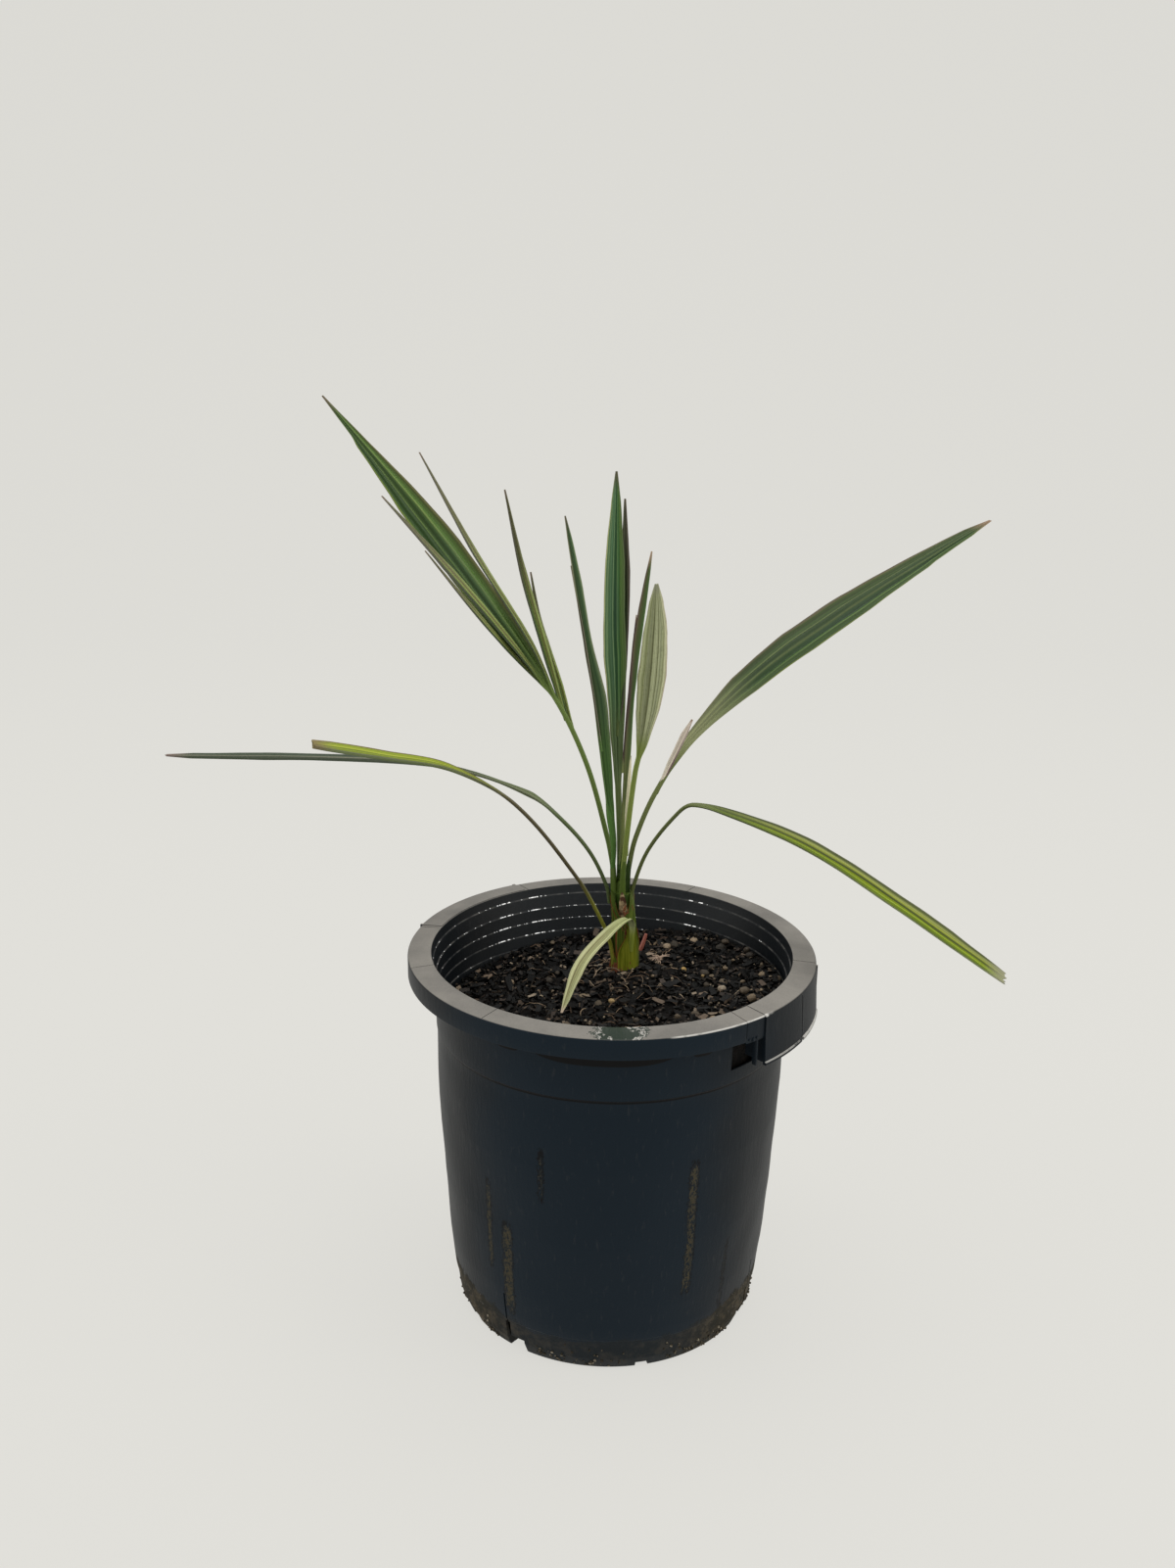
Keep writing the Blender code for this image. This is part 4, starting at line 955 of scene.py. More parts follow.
def add_piece(name, shape, finish, replaced=None, sharp=40):
    """Turn a bmesh in millimetres into a finished piece in metres that rides on the part."""
    bmesh.ops.scale(shape, vec=(MM, MM, MM), verts=shape.verts)
    mesh = bpy.data.meshes.new(name)
    shape.to_mesh(mesh)
    shape.free()
    piece = bpy.data.objects.new(name, mesh)
    bpy.context.scene.collection.objects.link(piece)
    mesh.materials.append(finish)
    mesh.shade_smooth()
    mesh.set_sharp_from_angle(angle=math.radians(sharp))
    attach(piece, BODY)
    if replaced:
        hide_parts(replaced)
    return piece


def loose_object(name, shape):
    """A plain object in millimetres, used by a Boolean."""
    bmesh.ops.recalc_face_normals(shape, faces=shape.faces)
    mesh = bpy.data.meshes.new(name)
    shape.to_mesh(mesh)
    shape.free()
    thing = bpy.data.objects.new(name, mesh)
    bpy.context.scene.collection.objects.link(thing)
    return thing


def combine(body, others, operation):
    """Apply one Boolean of the body with all the other objects, which are then removed."""
    group = bpy.data.collections.new(f"{body.name}_{operation.lower()}")
    bpy.context.scene.collection.children.link(group)
    for other in others:
        group.objects.link(other)
    boolean = body.modifiers.new(operation.title(), "BOOLEAN")
    boolean.operation = operation
    boolean.operand_type = "COLLECTION"
    boolean.collection = group
    boolean.solver = "EXACT"
    bpy.context.view_layer.update()
    evaluated = body.evaluated_get(bpy.context.evaluated_depsgraph_get())
    joined = bpy.data.meshes.new_from_object(evaluated)
    body.modifiers.clear()
    body.data = joined
    for other in others:
        bpy.data.objects.remove(other, do_unlink=True)
    bpy.data.collections.remove(group)


def rounded(points, radius):
    """An outline with each inner corner that has room for it turned into a short arc."""
    path = [points[0]]
    for before, corner, after in zip(points, points[1:], points[2:]):
        before, corner, after = Vector(before), Vector(corner), Vector(after)
        room = min(radius, (before - corner).length * 0.45, (after - corner).length * 0.45)
        start = corner.lerp(before, room / (before - corner).length)
        end = corner.lerp(after, room / (after - corner).length)
        path += [start, (start + end + 2 * corner) / 4, end]
    return path + [points[-1]]


def divided(points, pitch):
    """An outline with its long runs divided, so that no stretch is longer than a pitch."""
    path = [Vector(points[0])]
    for start, end in zip(points, points[1:]):
        start, end = Vector(start), Vector(end)
        steps = max(1, math.ceil((end - start).length / pitch))
        path += [start.lerp(end, number / steps) for number in range(1, steps + 1)]
    return path


def pot_outline():
    """Radius and height round the pot's section, from the middle of its underside up and back inside."""
    base = [(0, 0), (PAD_RADIUS, 0), (PAD_RADIUS + PAD_SLOPE, FLOOR_UNDER),
            (FOOT_INNER - FOOT_SLOPE, FLOOR_UNDER), (FOOT_INNER, 0)]
    wall = [(radius, height) for height, radius in WALL_OUTSIDE]
    skirt = RING_OUTER - WALL
    outer_edge = RING_TOP - RING_FALL
    ring = [(skirt - 0.1, wall[-1][1] - 0.2), (skirt + 0.1, COLLAR_FOOT), (RING_OUTER, COLLAR_FOOT),
            (RING_OUTER, outer_edge - RING_ROUND), (RING_OUTER - RING_ROUND, outer_edge),
            (RING_INNER + RING_ROUND / 2, RING_TOP), (RING_INNER, RING_TOP - RING_ROUND / 2)]
    ledges = []
    for number in range(LEDGE_COUNT):
        height = LEDGE_TOP - LEDGE_PITCH * number
        radius = wall_radius(height) - WALL
        ledges += [(radius + LEDGE_STEP, height + LEDGE_SLANT), (radius - LEDGE_STEP, height - LEDGE_SLANT)]
    cavity = [(wall_radius(height) - WALL, height) for height in CAVITY_HEIGHTS]
    floor = [*CAVITY_FOOT, (0, FLOOR_TOP)]
    return divided(rounded(base + wall + ring + ledges + cavity + floor, 0.5), 9.0)


def turned(name, outline, sides):
    """Closed body turned from an outline of (radius, height) points that starts and ends on the axis."""
    shape = bmesh.new()
    verts = [shape.verts.new((radius, 0, height)) for radius, height in outline]
    edges = [shape.edges.new(pair) for pair in zip(verts, verts[1:])]
    bmesh.ops.spin(shape, geom=verts + edges, cent=(0, 0, 0), axis=(0, 0, 1),
                   angle=math.tau, steps=sides, use_merge=True)
    bmesh.ops.remove_doubles(shape, verts=shape.verts, dist=1e-4)
    return loose_object(name, shape)


def sector(name, outline, start, end, steps):
    """Closed body swept round the axis between two azimuths from an outline of (radius, height) points."""
    shape = bmesh.new()
    outwards = direction(start)
    verts = [shape.verts.new(outwards * radius + Vector((0, 0, height))) for radius, height in outline]
    face = shape.faces.new(verts)
    bmesh.ops.spin(shape, geom=[face] + list(face.edges) + verts, cent=(0, 0, 0), axis=(0, 0, 1),
                   angle=math.radians(end - start), steps=steps, use_duplicate=False)
    return loose_object(name, shape)


def block(name, azimuth, near, far, width, low, high, soft=0.0):
    """Closed box that points away from the axis, from one radius and height to another."""
    shape = bmesh.new()
    middle = direction(azimuth) * (near + far) / 2 + Vector((0, 0, (low + high) / 2))
    turn = Matrix.Rotation(math.radians(azimuth), 4, "Z")
    size = Matrix.Diagonal((far - near, width, high - low, 1))
    bmesh.ops.create_cube(shape, size=1, matrix=Matrix.Translation(middle) @ turn @ size)
    if soft:
        bmesh.ops.bevel(shape, geom=shape.edges, offset=soft, affect="EDGES", segments=2, profile=0.5,
                        material=-1)
    return loose_object(name, shape)


def grip_pieces():
    """The deep stretches of the collar with a lip at their foot, their end fins, a shelf, a hook and nubs."""
    skirt = RING_OUTER - WALL + GRIP_PROUD / 2
    outside = RING_OUTER + GRIP_PROUD
    flared = outside + GRIP_FLARE
    top = RING_TOP - RING_FALL + GRIP_PROUD
    lip_top = GRIP_FOOT + GRIP_LIP_HEIGHT
    outline = [(RING_INNER + LAP, RING_TOP + GRIP_PROUD), (outside - RING_ROUND, top),
               (outside, top - RING_ROUND), (flared, lip_top), (flared + GRIP_LIP, lip_top),
               (flared + GRIP_LIP, GRIP_FOOT), (skirt + GRIP_FLARE, GRIP_FOOT), (skirt, top - 2 * LAP),
               (RING_INNER + LAP, RING_TOP - RING_FALL)]
    fin_top = RING_TOP - LAP
    levels = [FIN_FOOT, *(height for height, radius in WALL_OUTSIDE if FIN_FOOT < height < fin_top), fin_top]
    fin = [(outside + LAP, FIN_FOOT), (outside + LAP, fin_top)]
    fin += [(wall_radius(level) - LAP, level) for level in reversed(levels)]
    fin_turn = math.degrees(FIN_THICK / RING_OUTER)
    pieces = []
    for start, end in GRIP_SPANS:
        pieces.append(sector("grip", rounded(outline + outline[:1], 0.3)[:-1], start, end, 24))
        for azimuth in (start, end - fin_turn):
            pieces.append(sector("fin", fin, azimuth, azimuth + fin_turn, 2))
    near, far = wall_radius(SHELF_LOW) - LAP, RING_OUTER - GRIP_PROUD
    shelf = [(near, SHELF_LOW), (far, SHELF_LOW), (far, SHELF_HIGH), (near, SHELF_HIGH)]
    pieces.append(sector("shelf", shelf, SHELF_START, GRIP_SPANS[0][0] + 1.0, 6))
    pieces.append(block("hook", HOOK["azimuth"], far - HOOK["depth"], far, HOOK["thick"], HOOK["foot"],
                        SHELF_HIGH, soft=0.3))
    for number in range(3):
        pieces.append(block("nub", SHELF_START + 1.0 + 1.3 * number, RING_OUTER - LAP, RING_OUTER + LAP, 1.5,
                            SHELF_HIGH - 0.6 - number % 2, SHELF_HIGH + 0.8, soft=0.4))
    return pieces


def pot_cutters():
    """Drain slots and notches, the window in the wall, the slit in the front grip and the ring's seams."""
    cuts = list(NOTCHES)
    for azimuth, side in DRAIN_SLOTS:
        for offset, width, height in DRAIN_CUTS:
            cuts.append((azimuth + side * math.degrees(offset / wall_radius(height)), width, height))
    cutters = [block("slot", azimuth, CUT_NEAR, CUT_FAR, width, -1.0, height)
               for azimuth, width, height in cuts]
    middle = wall_radius(WINDOW["low"])
    cutters.append(block("window", WINDOW["azimuth"], middle - 2 * WALL, middle + 2 * WALL,
                         WINDOW["width"], WINDOW["low"], WINDOW["high"]))
    near, far = RING_OUTER - GRIP_SLIT["depth"], RING_OUTER + 2 * GRIP_SLIT["depth"]
    cutters.append(block("slit", GRIP_SLIT["azimuth"], near, far, GRIP_SLIT["width"], GRIP_FOOT - 1.0,
                         RING_TOP - GRIP_SLIT["depth"]))
    cutters.append(block("slit_end", GRIP_SLIT["azimuth"], near, far, 3 * GRIP_SLIT["width"], GRIP_FOOT - 1.0,
                         GRIP_FOOT + GRIP_LIP_HEIGHT + LAP))
    for azimuth in RING_SEAMS:
        cutters.append(block("seam", azimuth, RING_INNER - 2, RING_OUTER + 2, SEAM_WIDTH,
                             RING_TOP - SEAM_DEPTH, RING_TOP + 2))
    cutters.append(block("collar_seam", SHELF_START, RING_OUTER - SEAM_DEPTH / 2, RING_OUTER + 2,
                         SEAM_WIDTH, SHELF_HIGH + 1.5, RING_TOP))
    return cutters


def dent(point, depth):
    """Push a point of the pot's wall in or out a little, most at half its height."""
    level = ease(point.z / 40) * ease((RING_TOP - 18 - point.z) / 60)
    away = Vector((point.x, point.y, 0))
    if away.length < 60:
        return
    push = ripple((point.x, point.y, point.z * 0.8), 55) + 0.4 * ripple((point.x, point.y, point.z), 22)
    point.xyz += away.normalized() * push * depth * level


def batch(placed):
    """One bmesh of (template mesh, matrix) rows, with a copy of each template at its matrix."""
    shape = bmesh.new()
    for template, matrix in placed:
        template.transform(matrix)
        shape.from_mesh(template)
        template.transform(matrix.inverted())
    return shape


def lump(name, subdivisions, roughness, draw, squash=(1, 1, 1)):
    """Template of an uneven lump of radius 1."""
    shape = bmesh.new()
    bmesh.ops.create_icosphere(shape, subdivisions=subdivisions, radius=1)
    offset = Vector([draw.uniform(-50, 50) for axis in range(3)])
    for vert in shape.verts:
        vert.co *= 1 + roughness * noise.noise(vert.co * 1.3 + offset)
        vert.co = Vector(value * part for value, part in zip(vert.co, squash))
    mesh = bpy.data.meshes.new(name)
    shape.to_mesh(mesh)
    shape.free()
    return mesh


def splinter(name, draw):
    """Template of a broken bark chip of length 2, width 1 and thickness 0.5, with split ends."""
    shape = bmesh.new()
    bmesh.ops.create_cube(shape, size=1, matrix=Matrix.Diagonal((2, 1, 0.5, 1)))
    lengthwise = [edge for edge in shape.edges if abs(edge.verts[0].co.x - edge.verts[1].co.x) > 1]
    bmesh.ops.subdivide_edges(shape, edges=lengthwise, cuts=2, use_grid_fill=True)
    for vert in shape.verts:
        vert.co += Vector([draw.uniform(-0.17, 0.17) * scale for scale in (1.6, 1, 0.7)])
    mesh = bpy.data.meshes.new(name)
    shape.to_mesh(mesh)
    shape.free()
    return mesh


def scatter_matrix(draw, size, sunk, keep_clear):
    """Place, random turn and size of a bit that lies on the potting mix."""
    while True:
        spot = Vector((draw.uniform(-1, 1), draw.uniform(-1, 1))) * (MIX_RADIUS - size * 0.6)
        if spot.length < MIX_RADIUS - size * 0.6 and (spot - FOOT).length > keep_clear:
            break
    lie = Quaternion((0, 0, 1), draw.uniform(0, math.tau))
    tip = Quaternion(direction(draw.uniform(0, 360)), math.radians(abs(draw.gauss(0, 24))))
    height = mix_height(spot.x, spot.y) + draw.uniform(-0.6, 1.0) * size * sunk
    place = Matrix.Translation((spot.x, spot.y, height))
    stretch = Matrix.Diagonal((size, size * draw.uniform(0.7, 1.1), size * draw.uniform(0.6, 1.0), 1))
    return place @ (tip @ lie).to_matrix().to_4x4() @ stretch


def tube(shape, points, radii, sides=6):
    """Add a closed round tube through points, with a radius at each, to a bmesh."""
    made = bmesh.ops.create_circle(shape, segments=sides, radius=1, cap_ends=True)
    ring = made["verts"]
    first = ring[0].link_faces[0]
    face = first
    circle = [vert.co.copy() for vert in ring]
    for number, (point, radius) in enumerate(zip(points, radii)):
        ahead = points[min(number + 1, len(points) - 1)] - points[max(number - 1, 0)]
        turn = ahead.to_track_quat("Z", "Y")
        if number:
            grown = bmesh.ops.extrude_face_region(shape, geom=[face])["geom"]
            if face is not first:
                shape.faces.remove(face)
            face = next(item for item in grown if isinstance(item, bmesh.types.BMFace))
            ring = face.verts
        for vert, start in zip(ring, circle):
            vert.co = point + turn @ (start * radius)


def leaf_frame(blade, path, share):
    """Middle of a leaf at a share of its length, and its sideways and upward directions there."""
    centre, along = walk(path, share)
    level = direction(blade.facing + 90)
    side = (level - level.dot(along) * along).normalized()
    side.rotate(Quaternion(along, math.radians(blade.roll)))
    return centre, side, along.cross(side)


def skin_point(blade, frame, across, share, spread, face_up, seed):
    """Point of a leaf's skin, from -1 to 1 across it, on its upper or under face."""
    centre, side, upwards = frame
    half = between(blade.widths, share) / 2
    half *= 1 + 0.05 * spread * noise.noise((share * 16, seed, across))
    for edge, start, loss in blade.steps:
        half *= 1 - loss * ease((share - start) / 0.03) * ease(across * edge * 3)
    thick = blade.stalk_thick + (BLADE_THICK - blade.stalk_thick) * spread
    fold = math.radians(blade.fold) * spread
    across = across * spread + math.sin(across * math.pi / 2) * (1 - spread)
    wave = math.cos(blade.ribs * math.pi * across)
    pleat = -PLEAT * half * spread * (wave + 0.25 * math.cos(2.3 * blade.ribs * math.pi * across))
    sway = 0.04 * half * spread * noise.noise((share * 9, seed, across * 1.5))
    point = centre + side * (half * across * math.cos(fold))
    point += upwards * (half * (abs(across) - 0.5) * math.sin(fold) + pleat + sway)
    depth = thick / 2 * math.sqrt(max(0.0, 1 - across * across))
    return point + upwards * depth * face_up


def leaf_shell(shape, blade, seed):
    """Add a closed leaf to a bmesh: a fine grid wrapped round the spine, with pleats and a wavy edge."""
    shape.loops.layers.uv.verify()
    floats = shape.verts.layers.float
    blade_layer = floats.get("blade") or floats.new("blade")
    leaflet_layer = floats.get("leaflet") or floats.new("leaflet")
    made = bmesh.ops.create_grid(shape, x_segments=4 * blade.columns, y_segments=blade.stations, size=1,
                                 calc_uvs=True)
    path = smooth_path(blade.spine)
    frames = {}
    for vert in made["verts"]:
        turn, share = (vert.co.x + 1) / 2, (vert.co.y + 1) / 2
        across = 4 * turn - 1 if turn <= 0.5 else 3 - 4 * turn
        face_up = 1 if turn <= 0.5 else -1
        if blade.ragged:
            torn = 0.5 + 0.5 * noise.noise((across * 4, seed, 0))
            share *= 1 - blade.ragged * torn * ease((share - 0.8) / 0.2)
        key = round(share, 5)
        if key not in frames:
            frames[key] = leaf_frame(blade, path, share)
        spread = ease((share - blade.stalk) / SPREAD_SHARE)
        vert.co = skin_point(blade, frames[key], across, share, spread, face_up, seed)
        vert[blade_layer] = spread
        vert[leaflet_layer] = blade.leaflet
    bmesh.ops.remove_doubles(shape, verts=made["verts"], dist=1e-4)
    rims = [edge for edge in shape.edges if edge.is_boundary]
    bmesh.ops.holes_fill(shape, edges=rims, sides=0)


# Settings that a user may change


def tone(name, description, default):
    """A setting that holds a linear colour."""
    return FloatVectorProperty(name=name, description=description, default=default, subtype="COLOR",
                               min=0.0, max=1.0)


class PalmPotSettings(PropertyGroup):
    """Sizes and colours of the pot."""

    sides: IntProperty(name="Sides", description="Facets round the pot", default=192, min=48, max=256)
    dents: FloatProperty(name="Dents", description="How far the soft wall is out of round, in millimetres",
                         default=1.1, min=0.0, max=2.0)
    plastic: tone("Plastic", "Colour of the clean plastic", (0.0045, 0.0115, 0.0195))
    # The paler grey that is painted on the wall's flanks as a sheen.
    plastic_sheen: tone("Plastic sheen", "Colour of the plastic's painted sheen", (0.006, 0.008, 0.0102))
    dust: tone("Dust", "Colour of the dust on the flat ring", (0.232, 0.22, 0.202))
    # Also the colour of the painted highlights along the ledges.
    thin_dust_and_ledge_light: tone("Thin dust", "Colour of the ring where it is rubbed", (0.15, 0.144, 0.136))
    dust_low: tone("Scuffs", "Colour of the scuffs on the wall", (0.05, 0.05, 0.05))
    wet: tone("Wet ring", "Colour of the wet patch on the flat ring", (0.03, 0.042, 0.034))
    # The colour of the painted highlights on the edges and of the painted glints at the wet patch's rims.
    rubbed: tone("Edge highlights", "Colour of the painted highlights on the edges and at the wet rims", (0.55, 0.54, 0.52))
    stain: tone("Stain", "Colour of the dried water streaks", (0.05, 0.043, 0.026))
    mud: tone("Mud", "Colour of the mud at the pot's foot", (0.02, 0.018, 0.012))
    mud_light: tone("Dry mud", "Colour of the mud where it has dried", (0.07, 0.056, 0.036))


class PalmMixSettings(PropertyGroup):
    """How much of each thing lies on the potting mix."""

    chips: IntProperty(name="Bark chips", description="Number of bark chips", default=2400, min=0)
    crumbs: IntProperty(name="Crumbs", description="Number of small crumbs", default=2600, min=0)
    pebbles: IntProperty(name="Pebbles", description="Number of grit pebbles", default=250, min=0)
    roots: IntProperty(name="Roots", description="Number of fine roots", default=90, min=0)
    seed: IntProperty(name="Seed", description="Choice of random places", default=11, min=0)


class PalmStageSettings(PropertyGroup):
    """Camera and light."""

    lens: FloatProperty(name="Lens", description="Focal length, with the 36 mm sensor along the long side",
                        default=35.98, unit="CAMERA", min=1.0)
    tilt: FloatProperty(name="Tilt", description="How far the camera looks down",
                        default=math.radians(17.2), unit="ROTATION")
    roll: FloatProperty(name="Roll", description="How far the camera leans",
                        default=math.radians(0.9), unit="ROTATION")
    camera: FloatVectorProperty(name="Camera", description="Where the camera stands",
                                default=(-0.0166, -0.8951, 0.6183), subtype="TRANSLATION", unit="LENGTH")
    backdrop: tone("Backdrop", "Colour of the floor and the backdrop", (0.753, 0.745, 0.708))


# Operators


class PALM_OT_pot(Operator):
    """Make the nursery pot: a turned wall, floor and ring with two lift grips and drain slots"""

    bl_idname = "palm.make_pot"
    bl_label = "Pot"

    def execute(self, context):
        settings = context.scene.palm_pot
        pot = turned("pot_work", pot_outline(), settings.sides)
        combine(pot, grip_pieces(), "UNION")
        combine(pot, pot_cutters(), "DIFFERENCE")
        shape = bmesh.new()
        shape.from_mesh(pot.data)
        bpy.data.objects.remove(pot, do_unlink=True)
        for vert in shape.verts:
            dent(vert.co, settings.dents)
        add_piece("nursery_pot", shape, pot_plastic(settings), "pot", sharp=32)
        return {"FINISHED"}


class PALM_OT_soil(Operator):
    """Make the fine crumb that fills the pot"""

    bl_idname = "palm.make_soil"
    bl_label = "Potting mix"

    def execute(self, context):
        shape = bmesh.new()
        bmesh.ops.create_grid(shape, x_segments=150, y_segments=150, size=1)
        for vert in shape.verts:
            x, y = vert.co.x, vert.co.y
            x, y = x * math.sqrt(1 - y * y / 2), y * math.sqrt(1 - x * x / 2)
            x, y = x * MIX_RADIUS, y * MIX_RADIUS
            crumbs = 1.1 * ripple((x, y, 0), 7) + 0.8 * ripple((x, y, 5), 3) + 0.5 * ripple((x, y, 9), 1.5)
            vert.co = (x, y, mix_height(x, y) - MIX_SUNK + crumbs)
        rim = [edge for edge in shape.edges if edge.is_boundary]
        grown = bmesh.ops.extrude_edge_only(shape, edges=rim)["geom"]
        low = [item for item in grown if isinstance(item, bmesh.types.BMVert)]
        for vert in low:
            vert.co.z = MIX_LEVEL - MIX_SKIN
        bmesh.ops.holes_fill(shape, edges=[edge for edge in shape.edges if edge.is_boundary], sides=0)
        bmesh.ops.recalc_face_normals(shape, faces=shape.faces)
        add_piece("potting_mix_crumb", shape, soil_material(), "potting_mix")
        return {"FINISHED"}


class PALM_OT_bark(Operator):
    """Scatter the bark chips and small crumbs over the potting mix"""

    bl_idname = "palm.scatter_bark"
    bl_label = "Bark chips and crumbs"

    def execute(self, context):
        settings = context.scene.palm_mix
        draw = random.Random(settings.seed)
        chips = [splinter(f"chip_{number}", draw) for number in range(8)]
        placed = [(draw.choice(chips), scatter_matrix(draw, abs(draw.gauss(0, 1.1)) + 1.5, 0.5, STEM_CLEAR))
                  for number in range(settings.chips)]
        shape = batch(placed)
        bmesh.ops.recalc_face_normals(shape, faces=shape.faces)
        finish = mix_material("bark_chips", CHIP_TONES, 0.5, gloss=0.14)
        add_piece("bark_chips", shape, finish, sharp=30)
        lumps = [lump(f"crumb_{number}", 1, 0.5, draw) for number in range(6)]
        placed = [(draw.choice(lumps), scatter_matrix(draw, draw.uniform(0.6, 1.3), 1.4, STEM_CLEAR))
                  for number in range(settings.crumbs)]
        finish = mix_material("bark_crumbs", CRUMB_TONES, 0.65)
        add_piece("bark_crumbs", batch(placed), finish)
        return {"FINISHED"}


class PALM_OT_pebbles(Operator):
    """Scatter the round tan and grey grit over the potting mix"""

    bl_idname = "palm.scatter_pebbles"
    bl_label = "Pebbles"

    def execute(self, context):
        settings = context.scene.palm_mix
        draw = random.Random(settings.seed + 1)
        lumps = [lump(f"pebble_{number}", 2, 0.28, draw) for number in range(6)]
        placed = [(draw.choice(lumps), scatter_matrix(draw, abs(draw.gauss(0, 0.9)) + 1.0, 1.0, PEBBLE_CLEAR))
                  for number in range(settings.pebbles)]
        placed = [row for row in placed if draw.random() < 0.5 + row[1].translation.x / 140]
        for x, y, size in BIG_PEBBLES:
            spot = Matrix.Translation((x, y, mix_height(x, y) + 0.4 * size))
            placed.append((draw.choice(lumps), spot @ Matrix.Diagonal((size, size * 0.85, size * 0.7, 1))))
        add_piece("pebbles", batch(placed), mix_material("pebbles", PEBBLE_TONES, 0.5))
        return {"FINISHED"}


class PALM_OT_roots(Operator):
    """Lay the fine roots and straws over the potting mix, and stand the reddish twig by the stem"""

    bl_idname = "palm.lay_roots"
    bl_label = "Roots and twigs"

    def execute(self, context):
        settings = context.scene.palm_mix
        draw = random.Random(settings.seed + 2)
        finish = mix_material("fine_roots", ROOT_TONES, 0.7)
        add_piece("fine_roots", fine_roots(draw, settings.roots), finish)
        finish = plain_finish("straws", srgb(176, 152, 134), 0.7, 0.8)
        add_piece("straws", straws(draw), finish)
        add_piece("red_twig", red_twig(), plain_finish("red_twig", TWIG_TONE, 0.5))
        return {"FINISHED"}


def fine_roots(draw, count):
    """Fine roots that wander over the potting mix, a third of them near the stem."""
    shape = bmesh.new()
    for number in range(count):
        near = draw.random() < 0.35
        reach = draw.uniform(9, 34) if near else draw.uniform(20, 98)
        start = FOOT * (1 if near else 0) + (direction(draw.uniform(0, 360)) * reach).to_2d()
        if start.length > ROOT_REACH:
            start *= ROOT_REACH / start.length
        heading = draw.uniform(0, 360)
        length = draw.uniform(4, 15)
        points = []
        for step in range(6):
            height = mix_height(*start) + 0.8 + 2.2 * math.sin(step / 5 * math.pi) * draw.uniform(0.3, 1)
            points.append(Vector((start.x, start.y, height)))
            heading += draw.uniform(-16, 16)
            ahead = start + (direction(heading) * length / 5).to_2d()
            start = ahead if ahead.length < ROOT_END else start
        thick = draw.uniform(0.14, 0.36)
        tube(shape, points, [thick * part for part in (0.7, 1, 1, 0.9, 0.7, 0.35)], 5)
    bmesh.ops.recalc_face_normals(shape, faces=shape.faces)
    return shape


def straws(draw):
    """A small heap of short pale straws."""
    shape = bmesh.new()
    for number in range(STRAW_COUNT):
        start = STRAWS + Vector((draw.uniform(-2, 2), draw.uniform(-2, 2)))
        ahead = (direction(draw.uniform(0, 360)) * draw.uniform(3, 8)).to_2d()
        low = mix_height(*start) + draw.uniform(1.0, 2.4)
        points = [Vector((*(start + ahead * part), low + draw.uniform(-0.2, 1.6))) for part in (0, 0.5, 1)]
        tube(shape, points, (0.34, 0.36, 0.16), 6)
    bmesh.ops.recalc_face_normals(shape, faces=shape.faces)
    return shape


def red_twig():
    """The short reddish twig that stands in the potting mix behind the stem."""
    shape = bmesh.new()
    foot = Vector((*TWIG_FOOT, mix_height(*TWIG_FOOT) - 2))
    top = foot + TWIG_RISE
    points = [foot, foot.lerp(top, 0.5) + Vector((0.5, 0, 0.3)), top]
    tube(shape, points, (1.3, 1.5, 1.0), 8)
    bmesh.ops.recalc_face_normals(shape, faces=shape.faces)
    return shape


class PALM_OT_crown(Operator):
    """Make the stem base of wrapped leaf sheaths"""

    bl_idname = "palm.make_crown"
    bl_label = "Crown"

    def execute(self, context):
        shape = bmesh.new()
        shape.loops.layers.uv.verify()
        yellow = shape.verts.layers.float.new("yellow")
        brown = shape.verts.layers.float.new("brown")
        for sheath in SHEATHS:
            wrapped = wrap_sheath(shape, sheath)
            for vert in wrapped:
                vert[yellow] = sheath.yellow
                vert[brown] = sheath.brown
            faces = {face for vert in wrapped for face in vert.link_faces}
            bmesh.ops.solidify(shape, geom=list(faces), thickness=SHEATH_THICK)
        outer = set(shape.faces)
        add_core(shape)
        map_layer = shape.loops.layers.uv.verify()
        for face in set(shape.faces) - outer:
            for loop in face.loops:
                loop[map_layer].uv = CORE_TONE_PLACE
        bmesh.ops.recalc_face_normals(shape, faces=shape.faces)
        add_piece("crown_sheaths", shape, sheath_material(), "crown")
        finish = plain_finish("sheath_fibres", srgb(124, 70, 40), 0.7)
        add_piece("sheath_fibres", sheath_fibres(), finish)
        return {"FINISHED"}


def wrap_sheath(shape, sheath):
    """Add the sheet of one sheath to a bmesh, wrapped round the stem base. Returns its vertices."""
    made = bmesh.ops.create_grid(shape, x_segments=36, y_segments=40, size=1, calc_uvs=True)
    for vert in made["verts"]:
        across, share = vert.co.x, (vert.co.y + 1) / 2
        narrowing = ease((share - SHEATH_WAIST) / (1 - SHEATH_WAIST))
        wrap = sheath.wrap_foot + (sheath.wrap_top - sheath.wrap_foot) * narrowing
        height = sheath.foot + (sheath.top - sheath.foot) * share * (1 - 0.1 * across ** 2)
        x, y, radius = (between([(row[0], row[column]) for row in CROWN_CORE], height)
                        for column in (1, 2, 3))
        flare = 0.9 * abs(across) ** 6 * share
        away = direction(sheath.azimuth + across * wrap)
        vert.co = Vector((x, y, height)) + away * (radius + sheath.lift - SHEATH_THICK + flare)
    return made["verts"]


